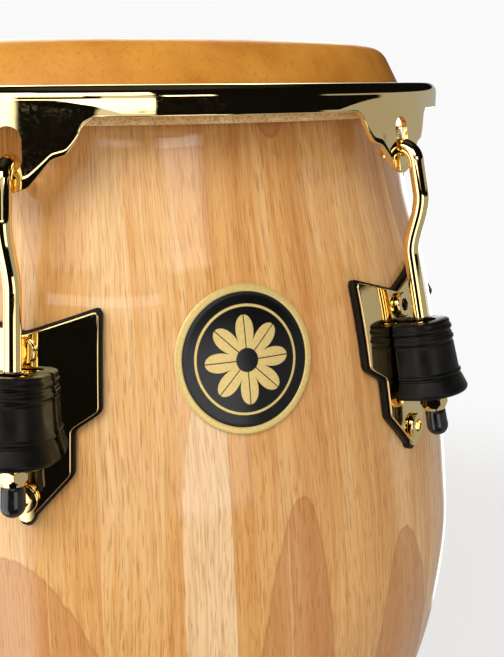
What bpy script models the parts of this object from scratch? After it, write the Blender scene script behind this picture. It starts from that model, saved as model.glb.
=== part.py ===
"""A tumba, the large drum of a conga set: a staved wood shell, a hide head and six tuned hooks.

Metres, +Z up. The drum stands on z = 0 with its axis on Z, and its badge faces -Y.
Depths are measured down from the top face of the rim.
"""

import math

import bmesh
import bpy
import numpy as np
from mathutils import Matrix, Vector

# Whole drum
HEIGHT = 0.762
HEAD_RISE = 0.0207
LUGS = 6
FIRST_LUG_ANGLE = math.radians(-60)
SEAT_GAP = 0.0003

# Rubber ring under the shell
BASE_RING_FLOOR = 0.0027
BASE_RING_WALL = 0.003
BASE_RING_HEIGHT = 0.024

# Shell: outer radius at each depth below the rim's top, top to bottom, then at its foot
SHELL_OUTLINE = (
    (-0.0069, 0.1567),
    (0.020, 0.1622),
    (0.060, 0.1707),
    (0.080, 0.1767),
    (0.100, 0.1822),
    (0.120, 0.1868),
    (0.140, 0.1905),
    (0.170, 0.1950),
    (0.200, 0.1985),
    (0.235, 0.2022),
    (0.265, 0.2045),
    (0.300, 0.2028),
    (0.330, 0.1987),
    (0.400, 0.1800),
    (0.480, 0.1583),
    (0.580, 0.1395),
)
FOOT_RADIUS = 0.1245
SHELL_WALL = 0.011
BEARING_EDGE_CHAMFER = 0.002
SHELL_STEPS = 48
SHELL_RING_STEP = 0.055

# Hide head
HIDE_THICKNESS = 0.0016
HIDE_CROWN = 0.0012
HIDE_SHOULDER_RADIUS = 0.0126
HIDE_SHOULDER = 0.1586
HIDE_SKIRT = 0.1645
HIDE_SKIRT_DEPTH = 0.0085

# Hoop with the hide's edge turned round it
HOOP_WIDTH = 0.0085
HOOP_BOTTOM_DEPTH = 0.0168
HOOP_CLEARANCE = 0.0006
HOOP_ROUNDING = 0.0025

# Rim
RIM_SHEET = 0.0028
RIM_HOOP_SPACE = 0.0093
RIM_RADIUS = HIDE_SKIRT + HOOP_CLEARANCE + HOOP_WIDTH + RIM_HOOP_SPACE + RIM_SHEET
RIM_ROUNDING = 0.0055
RIM_SKIRT_DEPTH = 0.0130
RIM_HIDE_CLEARANCE = 0.0008
FOLD_DEPTH = 0.0065
FOLD_REACH = 0.052
FOLD_SKIRT_MARGIN = 0.0012
EAR_OUTLINE = (
    (0.0352, 0.0130),
    (0.0306, 0.0164),
    (0.0282, 0.0215),
    (0.0238, 0.0274),
    (0.0178, 0.0293),
    (0.0132, 0.0345),
    (0.0078, 0.0405),
    (0.0000, 0.0432),
)
SLOT_WIDTH = 0.012
SLOT_TOP_DEPTH = 0.0158
SLOT_SEAT_CLEARANCE = 0.0009
RIM_BAYS = 4

# Tension rod line of each lug
ROD_TILT = math.radians(12.2)
ROD_STANDOFF = 0.01674
ROD_ANCHOR_DEPTH = 0.1165

# Hook, measured along the rod line, down from the guard's top
HOOK_DIAMETER = 0.0076
HOOK_BEND_RADIUS = 0.0084
HOOK_BEND_ANGLE = 150
HOOK_ARCH_DEPTH = 0.03855
HOOK_OFFSET = 0.0101
HOOK_BEND_DROP = 0.0154
HOOK_BEND_TO = 0.034
HOOK_PAST_NUT = 0.0067

# Side plate with the receiver that the hook passes through; its outline from the rod's anchor down
GASKET_THICKNESS = 0.0036
GASKET_MARGIN = 0.0015
PLATE_SHEET = 0.0015
PLATE_OUTLINE = (
    (0.0318, -0.0221),
    (0.0321, 0.0200),
    (0.0203, 0.0276),
    (0.0199, 0.0475),
    (0.0000, 0.0694),
)
PLATE_NOTCH = -0.0119
PLATE_CORNER = 0.0025
RECEIVER_DIAMETER = 0.0130
RECEIVER_TOP = 0.0010
RECEIVER_PROUD = 0.0020
RECEIVER_CLEARANCE = 0.0007
WEB_THICKNESS = 0.007
WEB_ROOT = 0.0014
WEB_INSET = 0.002

# Rubber guard round the receiver
GUARD_HEIGHT = 0.0378
GUARD_RADIUS = 0.0136
GUARD_WAIST_RADIUS = 0.0151
GUARD_FOOT_RADIUS = 0.0180
GUARD_FOOT_HEIGHT = 0.0055
GUARD_CHAMFER = 0.0012
GUARD_CLEARANCE = 0.0004
GUARD_BACK_GAP = 0.00045

# Tuning nut, M8
NUT_ACROSS_FLATS = 0.012
NUT_HEIGHT = 0.0065
NUT_TAPER_HEIGHT = 0.0032
NUT_END_DIAMETER = 0.0106
NUT_TURN = math.radians(24)
NUT_THREAD_CLEARANCE = 0.0004

# Rubber cap over the rod's end
CAP_DIAMETER = 0.011
CAP_LENGTH = 0.0137
CAP_WALL = 0.0012
CAP_END_WALL = 0.0018

# Bolts through plate, gasket and shell into the tapped backing strip, placed from the rod's anchor
BOLT_DIAMETER = 0.006
BOLT_CLEARANCE = 0.0003
BOLT_HEAD_DIAMETER = 0.013
BOLT_HEAD_HEIGHT = 0.0024
BOLT_SOCKET_DIAMETER = 0.006
BOLT_SOCKET_DEPTH = 0.0015
BOLT_PLACES = (-0.0052, 0.0579)
STRIP_WIDTH = 0.020
STRIP_SHEET = 0.004
STRIP_MARGIN = 0.011
BOLT_TAIL = 0.0015

# Badge
BADGE_DIAMETER = 0.067
BADGE_SHEET = 0.0012
BADGE_DEPTH = 0.1203

# Derived levels
RIM_TOP = HEIGHT - HEAD_RISE
FOOT_DEPTH = RIM_TOP - BASE_RING_FLOOR - SEAT_GAP
RECEIVER_BOTTOM = GUARD_HEIGHT + RECEIVER_PROUD
HOOK_END = RECEIVER_BOTTOM + NUT_HEIGHT + HOOK_PAST_NUT
BOLT_DEPTHS = [ROD_ANCHOR_DEPTH + place for place in BOLT_PLACES]
BEND_STEP = 0.014
TURN_STEPS = 12


def clear_scene():
    for old in list(bpy.data.objects):
        bpy.data.objects.remove(old, do_unlink=True)


def new_collection(name, hidden=False):
    collection = bpy.data.collections.new(name)
    bpy.context.scene.collection.children.link(collection)
    collection.hide_render = hidden
    return collection


def new_material(name, colour, roughness, metallic=0.0):
    material = bpy.data.materials.new(name)
    material.use_nodes = True
    shader = material.node_tree.nodes["Principled BSDF"]
    shader.inputs["Base Color"].default_value = (*colour, 1.0)
    shader.inputs["Roughness"].default_value = roughness
    shader.inputs["Metallic"].default_value = metallic
    material.diffuse_color = (*colour, 1.0)
    return material


def add_object(name, mesh, material, parent=None, collection=None):
    piece = bpy.data.objects.new(name, mesh)
    (collection or DRUM).objects.link(piece)
    if material is not None and not mesh.materials:
        mesh.materials.append(material)
    piece.parent = parent
    return piece


def add_cutter(name, mesh, parent=None):
    cutter = add_object(name, mesh, None, parent, CUTTERS)
    cutter.hide_render = True
    cutter.display_type = "WIRE"
    return cutter


def cut(piece, cutter, operation="DIFFERENCE"):
    boolean = piece.modifiers.new(cutter.name, "BOOLEAN")
    boolean.operation = operation
    boolean.object = cutter


def evaluated_mesh(source, name):
    """The object's mesh as its modifiers leave it, with doubled points merged."""
    bpy.context.view_layer.update()
    graph = bpy.context.evaluated_depsgraph_get()
    mesh = bpy.data.meshes.new_from_object(source.evaluated_get(graph))
    mesh.name = name
    work = bmesh.new()
    work.from_mesh(mesh)
    bmesh.ops.remove_doubles(work, verts=work.verts, dist=1e-6)
    work.to_mesh(mesh)
    work.free()
    return mesh


def turned(name, profile, steps, material, parent=None, closed=True):
    """A profile of (radius, height) points, outer side downwards, turned about Z."""
    mesh = bpy.data.meshes.new(name)
    count = len(profile)
    edges = [(i, i + 1) for i in range(count - 1)]
    if closed:
        edges.append((count - 1, 0))
    mesh.from_pydata([(radius, 0.0, height) for radius, height in profile], edges, [])
    piece = add_object(name, mesh, material, parent)
    screw = piece.modifiers.new("turn", "SCREW")
    screw.steps = steps
    screw.render_steps = steps
    screw.use_merge_vertices = True
    screw.merge_threshold = 1e-5
    return piece


def flat_mesh(name, loops, thickness):
    """A flat sheet from closed loops of (x, y) points, centred on z = 0; inner loops are holes."""
    curve = bpy.data.curves.new(name, "CURVE")
    curve.dimensions = "2D"
    curve.fill_mode = "BOTH"
    curve.extrude = thickness / 2
    for loop in loops:
        spline = curve.splines.new("POLY")
        spline.points.add(len(loop) - 1)
        for point, (x, y) in zip(spline.points, loop):
            point.co = (x, y, 0.0, 1.0)
        spline.use_cyclic_u = True
    source = bpy.data.objects.new(name, curve)
    DRUM.objects.link(source)
    mesh = evaluated_mesh(source, name)
    bpy.data.objects.remove(source)
    return mesh


def circle(radius, count, centre=(0.0, 0.0), start=0.0):
    turns = [start + 2 * math.pi * i / count for i in range(count)]
    return [
        (centre[0] + radius * math.cos(a), centre[1] + radius * math.sin(a))
        for a in turns
    ]


def hexagon(across_flats, centre=(0.0, 0.0)):
    return circle(across_flats / math.sqrt(3), 6, centre)


def bolt_hole_loops():
    """Clearance holes for both bolts, on a flat sheet whose y is minus the depth."""
    return [hexagon(BOLT_DIAMETER + 2 * BOLT_CLEARANCE, (0.0, -depth)) for depth in BOLT_DEPTHS]


def slice_mesh(mesh, axis, step):
    """Adds an edge loop at every whole step along the axis, so that the sheet can bend."""
    work = bmesh.new()
    work.from_mesh(mesh)
    if axis == 0:
        bmesh.ops.dissolve_limit(work, angle_limit=0.01, verts=work.verts, edges=work.edges)
    values = [vertex.co[axis] for vertex in work.verts]
    normal = Vector((0.0, 0.0, 0.0))
    normal[axis] = 1.0
    for i in range(math.ceil(min(values) / step), math.floor(max(values) / step) + 1):
        bmesh.ops.bisect_plane(
            work,
            geom=work.verts[:] + work.edges[:] + work.faces[:],
            plane_co=normal * (i * step + 1e-5),
            plane_no=normal,
        )
    work.to_mesh(mesh)
    work.free()


SHELL_DEPTHS, SHELL_RADII = np.array([*SHELL_OUTLINE, (FOOT_DEPTH, FOOT_RADIUS)]).T
SHELL_SLOPES = np.gradient(SHELL_RADII, SHELL_DEPTHS)


def shell_radius(depth):
    """Outer radius at a depth: a cubic through the outline's points with their mean slopes."""
    depth = np.clip(depth, SHELL_DEPTHS[0], SHELL_DEPTHS[-1])
    i = np.clip(np.searchsorted(SHELL_DEPTHS, depth) - 1, 0, len(SHELL_DEPTHS) - 2)
    span = SHELL_DEPTHS[i + 1] - SHELL_DEPTHS[i]
    t = (depth - SHELL_DEPTHS[i]) / span
    ease = t * t * (3 - 2 * t)
    return (
        SHELL_RADII[i] * (1 - ease)
        + SHELL_RADII[i + 1] * ease
        + span * SHELL_SLOPES[i] * t * (1 - t) ** 2
        - span * SHELL_SLOPES[i + 1] * t * t * (1 - t)
    )


ROD_ANCHOR_RADIUS = float(shell_radius(ROD_ANCHOR_DEPTH)) + ROD_STANDOFF


def shell_tilt(depth):
    """Angle by which the shell's outward normal points above the level."""
    reach = 0.001
    growth = shell_radius(depth + reach) - shell_radius(depth - reach)
    return math.atan2(float(growth), 2 * reach)


def on_shell(depth, off):
    """(radius, height) of a point this far off the shell's outer face."""
    tilt = shell_tilt(depth)
    radius = float(shell_radius(depth)) + off * math.cos(tilt)
    return radius, RIM_TOP - depth + off * math.sin(tilt)


def inner_radius(depth):
    return float(shell_radius(depth)) - SHELL_WALL / math.cos(shell_tilt(depth))


def wrap_on_shell(mesh, middle_off):
    """Bends a flat sheet onto the shell: x runs round it, y is minus the depth, z is off it."""
    for vertex in mesh.vertices:
        radius, height = on_shell(-vertex.co.y, middle_off + vertex.co.z)
        angle = vertex.co.x / float(shell_radius(-vertex.co.y))
        vertex.co = (radius * math.cos(angle), radius * math.sin(angle), height)


def shell_sheet(name, loops, inner_off, thickness):
    """A sheet of this thickness whose inner face lies inner_off from the shell's outer face."""
    mesh = flat_mesh(name, loops, thickness)
    slice_mesh(mesh, 0, BEND_STEP)
    slice_mesh(mesh, 1, 2 * BEND_STEP)
    wrap_on_shell(mesh, inner_off + thickness / 2)
    return mesh


def offset_outline(points, margin):
    """A closed outline moved outwards by the margin, with its corners kept sharp."""
    count = len(points)
    moved = []
    for i, point in enumerate(points):
        here = Vector(point)
        before = (here - Vector(points[i - 1])).normalized()
        after = (Vector(points[(i + 1) % count]) - here).normalized()
        side = Vector((before.y, -before.x)) + Vector((after.y, -after.x))
        side.normalize()
        reach = margin / side.dot(Vector((before.y, -before.x)))
        moved.append(tuple(here + side * reach))
    return moved


def round_corners(points, radius, count=1):
    """Each corner of a closed outline replaced by points on an arc-like curve."""
    rounded = []
    for i, point in enumerate(points):
        here = Vector(point)
        before = Vector(points[i - 1]) - here
        after = Vector(points[(i + 1) % len(points)]) - here
        start = here + before.normalized() * min(radius, before.length / 2.5)
        end = here + after.normalized() * min(radius, after.length / 2.5)
        for k in range(count + 1):
            t = k / count
            mixed = start * (1 - t) ** 2 + here * 2 * t * (1 - t) + end * t * t
            rounded.append(tuple(mixed))
    return rounded


def plate_outline(margin=0.0):
    """The stepped shield outline of the side plate, anticlockwise, as (across, minus depth)."""
    right = [(across, -ROD_ANCHOR_DEPTH - below) for across, below in PLATE_OUTLINE]
    left = [(-across, height) for across, height in right[-2::-1]]
    outline = [*left, (0.0, -ROD_ANCHOR_DEPTH - PLATE_NOTCH), *right]
    outline = outline[::-1]
    return round_corners(offset_outline(outline, margin), PLATE_CORNER + margin / 2)


def outer_depths():
    """The outline's depths below the head, with more between them where they lie far apart."""
    depths = [SHELL_DEPTHS[1]]
    for above, below in zip(SHELL_DEPTHS[1:], SHELL_DEPTHS[2:]):
        count = math.ceil((below - above) / SHELL_RING_STEP)
        depths += list(np.linspace(above, below, count + 1)[1:])
    return depths


def shell_points():
    """Outer side downwards, then the inner side upwards."""
    shoulder = HIDE_SHOULDER - HIDE_SHOULDER_RADIUS
    crown = HEAD_RISE - HIDE_CROWN
    edge = HIDE_SHOULDER_RADIUS - HIDE_THICKNESS - SEAT_GAP
    rounding = [
        (shoulder + edge * math.sin(a), RIM_TOP + crown - HIDE_SHOULDER_RADIUS + edge * math.cos(a))
        for a in np.radians((0, 30, 60))
    ]
    outer = [(float(shell_radius(d)), RIM_TOP - d) for d in outer_depths()]
    foot = (FOOT_RADIUS - SHELL_WALL, RIM_TOP - FOOT_DEPTH)
    strip_top = BOLT_DEPTHS[0] - STRIP_MARGIN
    strip_bottom = BOLT_DEPTHS[1] + STRIP_MARGIN
    below = [d for d in SHELL_DEPTHS[-2::-1] if d > strip_bottom]
    above = [d for d in SHELL_DEPTHS[:0:-1] if d < strip_top - BEND_STEP]
    inner = [
        (inner_radius(d), RIM_TOP - d)
        for d in [*below, *np.linspace(strip_bottom, strip_top, 4), *above]
    ]
    lip = (rounding[0][0] - BEARING_EDGE_CHAMFER, rounding[0][1] - BEARING_EDGE_CHAMFER)
    return [*rounding, *outer, foot, *inner, lip]


def hide_points():
    """From the middle of the top, over the shoulder, down the skirt and back inside."""
    def side(inset):
        radius = HIDE_SHOULDER_RADIUS - inset
        centre = (HIDE_SHOULDER - HIDE_SHOULDER_RADIUS, RIM_TOP + HEAD_RISE - HIDE_CROWN - HIDE_SHOULDER_RADIUS)
        arc = [
            (centre[0] + radius * math.sin(a), centre[1] + radius * math.cos(a))
            for a in np.radians((0, 30, 60, 90))
        ]
        skirt = HIDE_SKIRT - inset
        return [
            (0.0, RIM_TOP + HEAD_RISE - inset),
            *arc,
            (skirt, RIM_TOP),
            (skirt, RIM_TOP - HIDE_SKIRT_DEPTH),
        ]

    return [*side(0.0), *side(HIDE_THICKNESS)[::-1]]


def hoop_points():
    """A rounded oblong section, outer side downwards."""
    inner = HIDE_SKIRT + HOOP_CLEARANCE
    outer = inner + HOOP_WIDTH
    top = RIM_TOP - RIM_SHEET - SEAT_GAP
    bottom = RIM_TOP - HOOP_BOTTOM_DEPTH
    soft = HOOP_ROUNDING
    return [
        (outer, top),
        (outer, bottom + soft),
        (outer - soft, bottom),
        (inner + soft, bottom),
        (inner, bottom + soft),
        (inner, top),
    ]


def base_ring_points():
    """An angle section: a floor under the shell's end and a wall round its foot."""
    inner = FOOT_RADIUS - SHELL_WALL
    floor_outer = FOOT_RADIUS + SEAT_GAP + BASE_RING_WALL
    top_inner, top = on_shell(RIM_TOP - BASE_RING_HEIGHT, SEAT_GAP)
    chamfer = BASE_RING_WALL / 3
    return [
        (top_inner + BASE_RING_WALL, top),
        (floor_outer, chamfer),
        (floor_outer - chamfer, 0.0),
        (inner, 0.0),
        (inner, BASE_RING_FLOOR),
        (FOOT_RADIUS + SEAT_GAP, BASE_RING_FLOOR),
        (top_inner, top),
    ]


def rod_point(along, out):
    """(radius, height) of a point on the rod line, along down it and out from it."""
    radius = ROD_ANCHOR_RADIUS + along * math.sin(ROD_TILT) + out * math.cos(ROD_TILT)
    height = RIM_TOP - ROD_ANCHOR_DEPTH - along * math.cos(ROD_TILT) + out * math.sin(ROD_TILT)
    return radius, height


HOOK_ARCH_OUT = HOOK_OFFSET - HOOK_BEND_RADIUS
HOOK_ARCH_RISE = (ROD_ANCHOR_DEPTH - HOOK_ARCH_DEPTH - HOOK_ARCH_OUT * math.sin(ROD_TILT)) / math.cos(ROD_TILT)
ARCH_CENTRE = rod_point(-HOOK_ARCH_RISE, HOOK_ARCH_OUT)
SLOT_BOTTOM_DEPTH = RIM_TOP - ARCH_CENTRE[1] - (HOOK_BEND_RADIUS - HOOK_DIAMETER / 2) + SLOT_SEAT_CLEARANCE
EAR_FLARE = (ARCH_CENTRE[0] + RIM_SHEET / 2 - RIM_RADIUS) / (SLOT_BOTTOM_DEPTH - FOLD_DEPTH)


def rim_section(across, depth):
    """(radius, height) points round the sheet, this far along from an ear's middle.

    The skirt reaches down to the depth. It folds outwards below a line that arches over the ear.
    """
    rise = (RIM_SKIRT_DEPTH - FOLD_DEPTH) * (across / FOLD_REACH) ** 2
    fold = min(FOLD_DEPTH + rise, depth - FOLD_SKIRT_MARGIN)
    outer = RIM_RADIUS
    inner = HIDE_SKIRT + RIM_HIDE_CLEARANCE
    turn = RIM_ROUNDING * math.sqrt(0.5)
    flare = EAR_FLARE * (depth - fold)
    section = [
        (inner, 0.0),
        (outer - RIM_ROUNDING, 0.0),
        (outer - RIM_ROUNDING + turn, turn - RIM_ROUNDING),
        (outer, -RIM_ROUNDING),
        (outer, -fold),
        (outer + flare, -depth),
        (outer - RIM_SHEET + flare, -depth),
        (outer - RIM_SHEET, -fold),
        (outer - RIM_SHEET, -RIM_SHEET),
        (inner, -RIM_SHEET),
    ]
    return [(radius, RIM_TOP + height) for radius, height in section]


def rim_mesh():
    """Sections lofted round the rim; the skirt reaches down where an ear is."""
    half = [(across / RIM_RADIUS, depth) for across, depth in EAR_OUTLINE]
    ear = [(-angle, depth) for angle, depth in half] + half[-2::-1]
    pitch = 2 * math.pi / LUGS
    bay = pitch - 2 * half[0][0]
    plain = [(half[0][0] + bay * i / RIM_BAYS, RIM_SKIRT_DEPTH) for i in range(1, RIM_BAYS)]
    work = bmesh.new()
    rings = []
    for lug in range(LUGS):
        for angle, depth in [*ear, *plain]:
            turn = FIRST_LUG_ANGLE + lug * pitch + angle
            rings.append(
                [
                    work.verts.new((r * math.cos(turn), r * math.sin(turn), z))
                    for r, z in rim_section(min(abs(angle), pitch - abs(angle)) * RIM_RADIUS, depth)
                ]
            )
    size = len(rings[0])
    for i, ring in enumerate(rings):
        following = rings[(i + 1) % len(rings)]
        for k in range(size):
            n = (k + 1) % size
            work.faces.new((ring[k], ring[n], following[n], following[k]))
    bmesh.ops.recalc_face_normals(work, faces=work.faces)
    mesh = bpy.data.meshes.new("rim")
    work.to_mesh(mesh)
    work.free()
    return mesh


def slot_cutter_mesh():
    """Round-ended slots through the ears, all in one mesh."""
    radius = SLOT_WIDTH / 2
    top = -SLOT_TOP_DEPTH - radius
    bottom = -SLOT_BOTTOM_DEPTH + radius
    ends = [(radius * math.cos(a), radius * math.sin(a)) for a in np.radians((0, 45, 90, 135, 180))]
    loop = [(x, y + top) for x, y in ends] + [(-x, bottom - y) for x, y in ends]
    mesh = flat_mesh("slot", [loop], 4 * RIM_SHEET + 2 * abs(ARCH_CENTRE[0] - RIM_RADIUS))
    stand = Matrix.Translation((RIM_RADIUS, 0, RIM_TOP)) @ Matrix(
        ((0, 0, 1, 0), (1, 0, 0, 0), (0, 1, 0, 0), (0, 0, 0, 1))
    )
    work = bmesh.new()
    for lug in range(LUGS):
        turn = Matrix.Rotation(FIRST_LUG_ANGLE + lug * 2 * math.pi / LUGS, 4, "Z")
        copy = mesh.copy()
        copy.transform(turn @ stand)
        work.from_mesh(copy)
        bpy.data.meshes.remove(copy)
    bmesh.ops.recalc_face_normals(work, faces=work.faces)
    joined = bpy.data.meshes.new("ear_slots")
    work.to_mesh(joined)
    work.free()
    return joined


STRIP_GAP = SEAT_GAP + inner_radius(BOLT_DEPTHS[1]) * (1 - math.cos(math.pi / SHELL_STEPS))


def bolt_frame(depth):
    """Places local Z along the shell's outward normal, with z = 0 on the shell's outer face."""
    tilt = shell_tilt(depth)
    radius, height = on_shell(depth, 0.0)
    turn = Matrix.Rotation(math.pi / 2 - tilt, 4, "Y")
    return Matrix.Translation((radius, 0.0, height)) @ turn


def bolt_hole_mesh():
    """The bolt holes through the shell, all in one mesh."""
    hole_radius = (BOLT_DIAMETER + 2 * BOLT_CLEARANCE) / math.sqrt(3)
    work = bmesh.new()
    for lug in range(LUGS):
        turn = Matrix.Rotation(FIRST_LUG_ANGLE + lug * 2 * math.pi / LUGS, 4, "Z")
        for depth in BOLT_DEPTHS:
            middle = Matrix.Translation((0.0, 0.0, -SHELL_WALL / 2))
            bmesh.ops.create_cone(
                work,
                cap_ends=True,
                segments=6,
                radius1=hole_radius,
                radius2=hole_radius,
                depth=3 * SHELL_WALL,
                matrix=turn @ bolt_frame(depth) @ middle,
            )
    mesh = bpy.data.meshes.new("bolt_holes")
    work.to_mesh(mesh)
    work.free()
    return mesh


def bolt_points():
    """Domed head with a socket, then the shank down to its tail, in the bolt's own frame."""
    seat = SEAT_GAP + GASKET_THICKNESS + SEAT_GAP + PLATE_SHEET + SEAT_GAP
    head = BOLT_HEAD_DIAMETER / 2
    top = seat + BOLT_HEAD_HEIGHT
    socket = BOLT_SOCKET_DIAMETER / 2
    tail = -(SHELL_WALL + STRIP_GAP + STRIP_SHEET + BOLT_TAIL)
    return [
        (0.0, top - BOLT_SOCKET_DEPTH),
        (socket, top - BOLT_SOCKET_DEPTH),
        (socket, top),
        (head * 0.86, top - BOLT_HEAD_HEIGHT * 0.08),
        (head, seat + BOLT_HEAD_HEIGHT * 0.6),
        (head, seat),
        (BOLT_DIAMETER / 2, seat),
        (BOLT_DIAMETER / 2, tail),
        (0.0, tail),
    ]


def guard_points():
    """(radius, height) of the guard's outer side, downwards."""
    foot = GUARD_FOOT_HEIGHT
    return [
        (GUARD_RADIUS - GUARD_CHAMFER, 0.0),
        (GUARD_RADIUS, -GUARD_CHAMFER),
        (GUARD_WAIST_RADIUS, 2 * foot - GUARD_HEIGHT),
        (GUARD_FOOT_RADIUS, foot - GUARD_HEIGHT),
        (GUARD_FOOT_RADIUS, GUARD_CHAMFER - GUARD_HEIGHT),
        (GUARD_FOOT_RADIUS - GUARD_CHAMFER, -GUARD_HEIGHT),
    ]


def cap_points():
    """A blind rubber cup, open at the top where it meets the nut."""
    top = -(RECEIVER_BOTTOM + NUT_HEIGHT + 2 * SEAT_GAP)
    outer = CAP_DIAMETER / 2
    bore = outer - CAP_WALL
    end = top - CAP_LENGTH
    dome = [
        (outer * math.cos(a), end + outer * (1 - math.sin(a)))
        for a in np.radians((0, 30, 60, 90))
    ]
    return [
        (0.0, end + CAP_END_WALL),
        (bore, end + CAP_END_WALL + CAP_WALL),
        (bore, top),
        (outer, top),
        *dome[:-1],
        (0.0, end),
    ]


def hook_mesh():
    """The rod: arch over the ear, outer leg, S-bend and straight threaded end."""
    crown = HOOK_ARCH_RISE
    path = []
    for a in np.radians(np.linspace(HOOK_BEND_ANGLE, 0, 9)):
        out = HOOK_ARCH_OUT + HOOK_BEND_RADIUS * math.cos(a)
        path.append((out, crown + HOOK_BEND_RADIUS * math.sin(a)))
    for t in np.linspace(0, 1, 8):
        ease = t * t * (3 - 2 * t)
        up = (crown - HOOK_BEND_DROP) * (1 - t) + HOOK_BEND_TO * t
        path.append((HOOK_OFFSET * (1 - ease), up))
    path.append((0.0, -HOOK_END))
    curve = bpy.data.curves.new("hook", "CURVE")
    curve.dimensions = "3D"
    curve.bevel_depth = HOOK_DIAMETER / 2
    curve.bevel_resolution = 2
    curve.use_fill_caps = True
    spline = curve.splines.new("POLY")
    spline.points.add(len(path) - 1)
    for point, (out, up) in zip(spline.points, path):
        point.co = (out, 0.0, up, 1.0)
    source = bpy.data.objects.new("hook", curve)
    DRUM.objects.link(source)
    mesh = evaluated_mesh(source, "hook")
    bpy.data.objects.remove(source)
    return mesh


def box_mesh(name, low, high):
    work = bmesh.new()
    bmesh.ops.create_cube(work, size=1.0)
    mesh = bpy.data.meshes.new(name)
    work.to_mesh(mesh)
    work.free()
    low = Vector(low)
    high = Vector(high)
    mesh.transform(Matrix.Translation((low + high) / 2) @ Matrix.Diagonal((*(high - low), 1.0)))
    return mesh


def cylinder_mesh(name, radius, low, high, segments):
    work = bmesh.new()
    bmesh.ops.create_cone(
        work,
        cap_ends=True,
        segments=segments,
        radius1=radius,
        radius2=radius,
        depth=high - low,
        matrix=Matrix.Translation((0.0, 0.0, (low + high) / 2)),
    )
    mesh = bpy.data.meshes.new(name)
    work.to_mesh(mesh)
    work.free()
    return mesh


def joined_mesh(name, piece):
    """The piece's mesh with its cuts made, so that copies can share it."""
    mesh = evaluated_mesh(piece, name)
    bpy.data.objects.remove(piece)
    return mesh


ROD_FRAME = Matrix.Translation((rod_point(0, 0)[0], 0.0, rod_point(0, 0)[1])) @ Matrix.Rotation(
    -ROD_TILT, 4, "Y"
)
PLATE_FACE_OFF = 2 * SEAT_GAP + GASKET_THICKNESS + PLATE_SHEET


def plate_distance():
    """Least distance from the rod line to the plate's face along the guard's height."""
    distances = []
    for along in np.linspace(0, GUARD_HEIGHT, 5):
        radius, height = rod_point(along, 0)
        face = on_shell(RIM_TOP - height, PLATE_FACE_OFF)[0]
        distances.append((radius - face) * math.cos(ROD_TILT))
    return min(distances)


def side_plate_mesh():
    """Shield plate, web and receiver tube, welded into one, with the rod's bore."""
    loops = [plate_outline(), *bolt_hole_loops()]
    sheet = shell_sheet("side_plate", loops, 2 * SEAT_GAP + GASKET_THICKNESS, PLATE_SHEET)
    plate = add_object("side_plate", sheet, None)
    reach = plate_distance() + WEB_ROOT
    web = box_mesh(
        "web",
        (-reach, -WEB_THICKNESS / 2, -RECEIVER_BOTTOM + WEB_INSET),
        (-RECEIVER_DIAMETER / 4, WEB_THICKNESS / 2, -RECEIVER_TOP - WEB_INSET),
    )
    web.transform(ROD_FRAME)
    tube = cylinder_mesh("tube", RECEIVER_DIAMETER / 2, -RECEIVER_BOTTOM, -RECEIVER_TOP, 14)
    tube.transform(ROD_FRAME)
    bore_radius = HOOK_DIAMETER / 2 + RECEIVER_CLEARANCE
    bore = cylinder_mesh("bore", bore_radius, -2 * RECEIVER_BOTTOM, RECEIVER_BOTTOM, 12)
    bore.transform(ROD_FRAME)
    helpers = [
        (add_cutter("web", web), "UNION"),
        (add_cutter("tube", tube), "UNION"),
        (add_cutter("bore", bore), "DIFFERENCE"),
    ]
    for helper, operation in helpers:
        cut(plate, helper, operation)
    return joined_mesh("side_plate", plate)


def guard_block_mesh():
    """The guard's block: a half-round front whose straight sides run back to the plate."""
    back = GUARD_BACK_GAP - plate_distance()
    work = bmesh.new()
    rings = []
    for radius, height in guard_points():
        front = [(radius * math.cos(a), radius * math.sin(a)) for a in np.radians(np.linspace(-90, 90, 11))]
        outline = [(back, -radius), *front, (back, radius)]
        rings.append([work.verts.new((x, y, height)) for x, y in outline])
    size = len(rings[0])
    for above, below in zip(rings, rings[1:]):
        for k in range(size):
            n = (k + 1) % size
            work.faces.new((above[k], above[n], below[n], below[k]))
    work.faces.new(rings[0])
    work.faces.new(rings[-1])
    bmesh.ops.recalc_face_normals(work, faces=work.faces)
    mesh = bpy.data.meshes.new("guard")
    work.to_mesh(mesh)
    work.free()
    return mesh


def guard_mesh():
    """The guard's block, bored for the receiver and slotted over the web."""
    guard = add_object("guard", guard_block_mesh(), None)
    reach = 2 * GUARD_FOOT_RADIUS
    bottom = -2 * GUARD_HEIGHT
    bore_radius = RECEIVER_DIAMETER / 2 + GUARD_CLEARANCE
    bore = cylinder_mesh("guard_bore", bore_radius, bottom, GUARD_HEIGHT, 16)
    half = WEB_THICKNESS / 2 + GUARD_CLEARANCE
    slot = box_mesh("guard_slot", (-reach, -half, bottom), (-RECEIVER_DIAMETER / 4, half, GUARD_HEIGHT))
    cut(guard, add_cutter("guard_bore", bore))
    cut(guard, add_cutter("guard_slot", slot))
    return joined_mesh("guard", guard)


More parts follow.
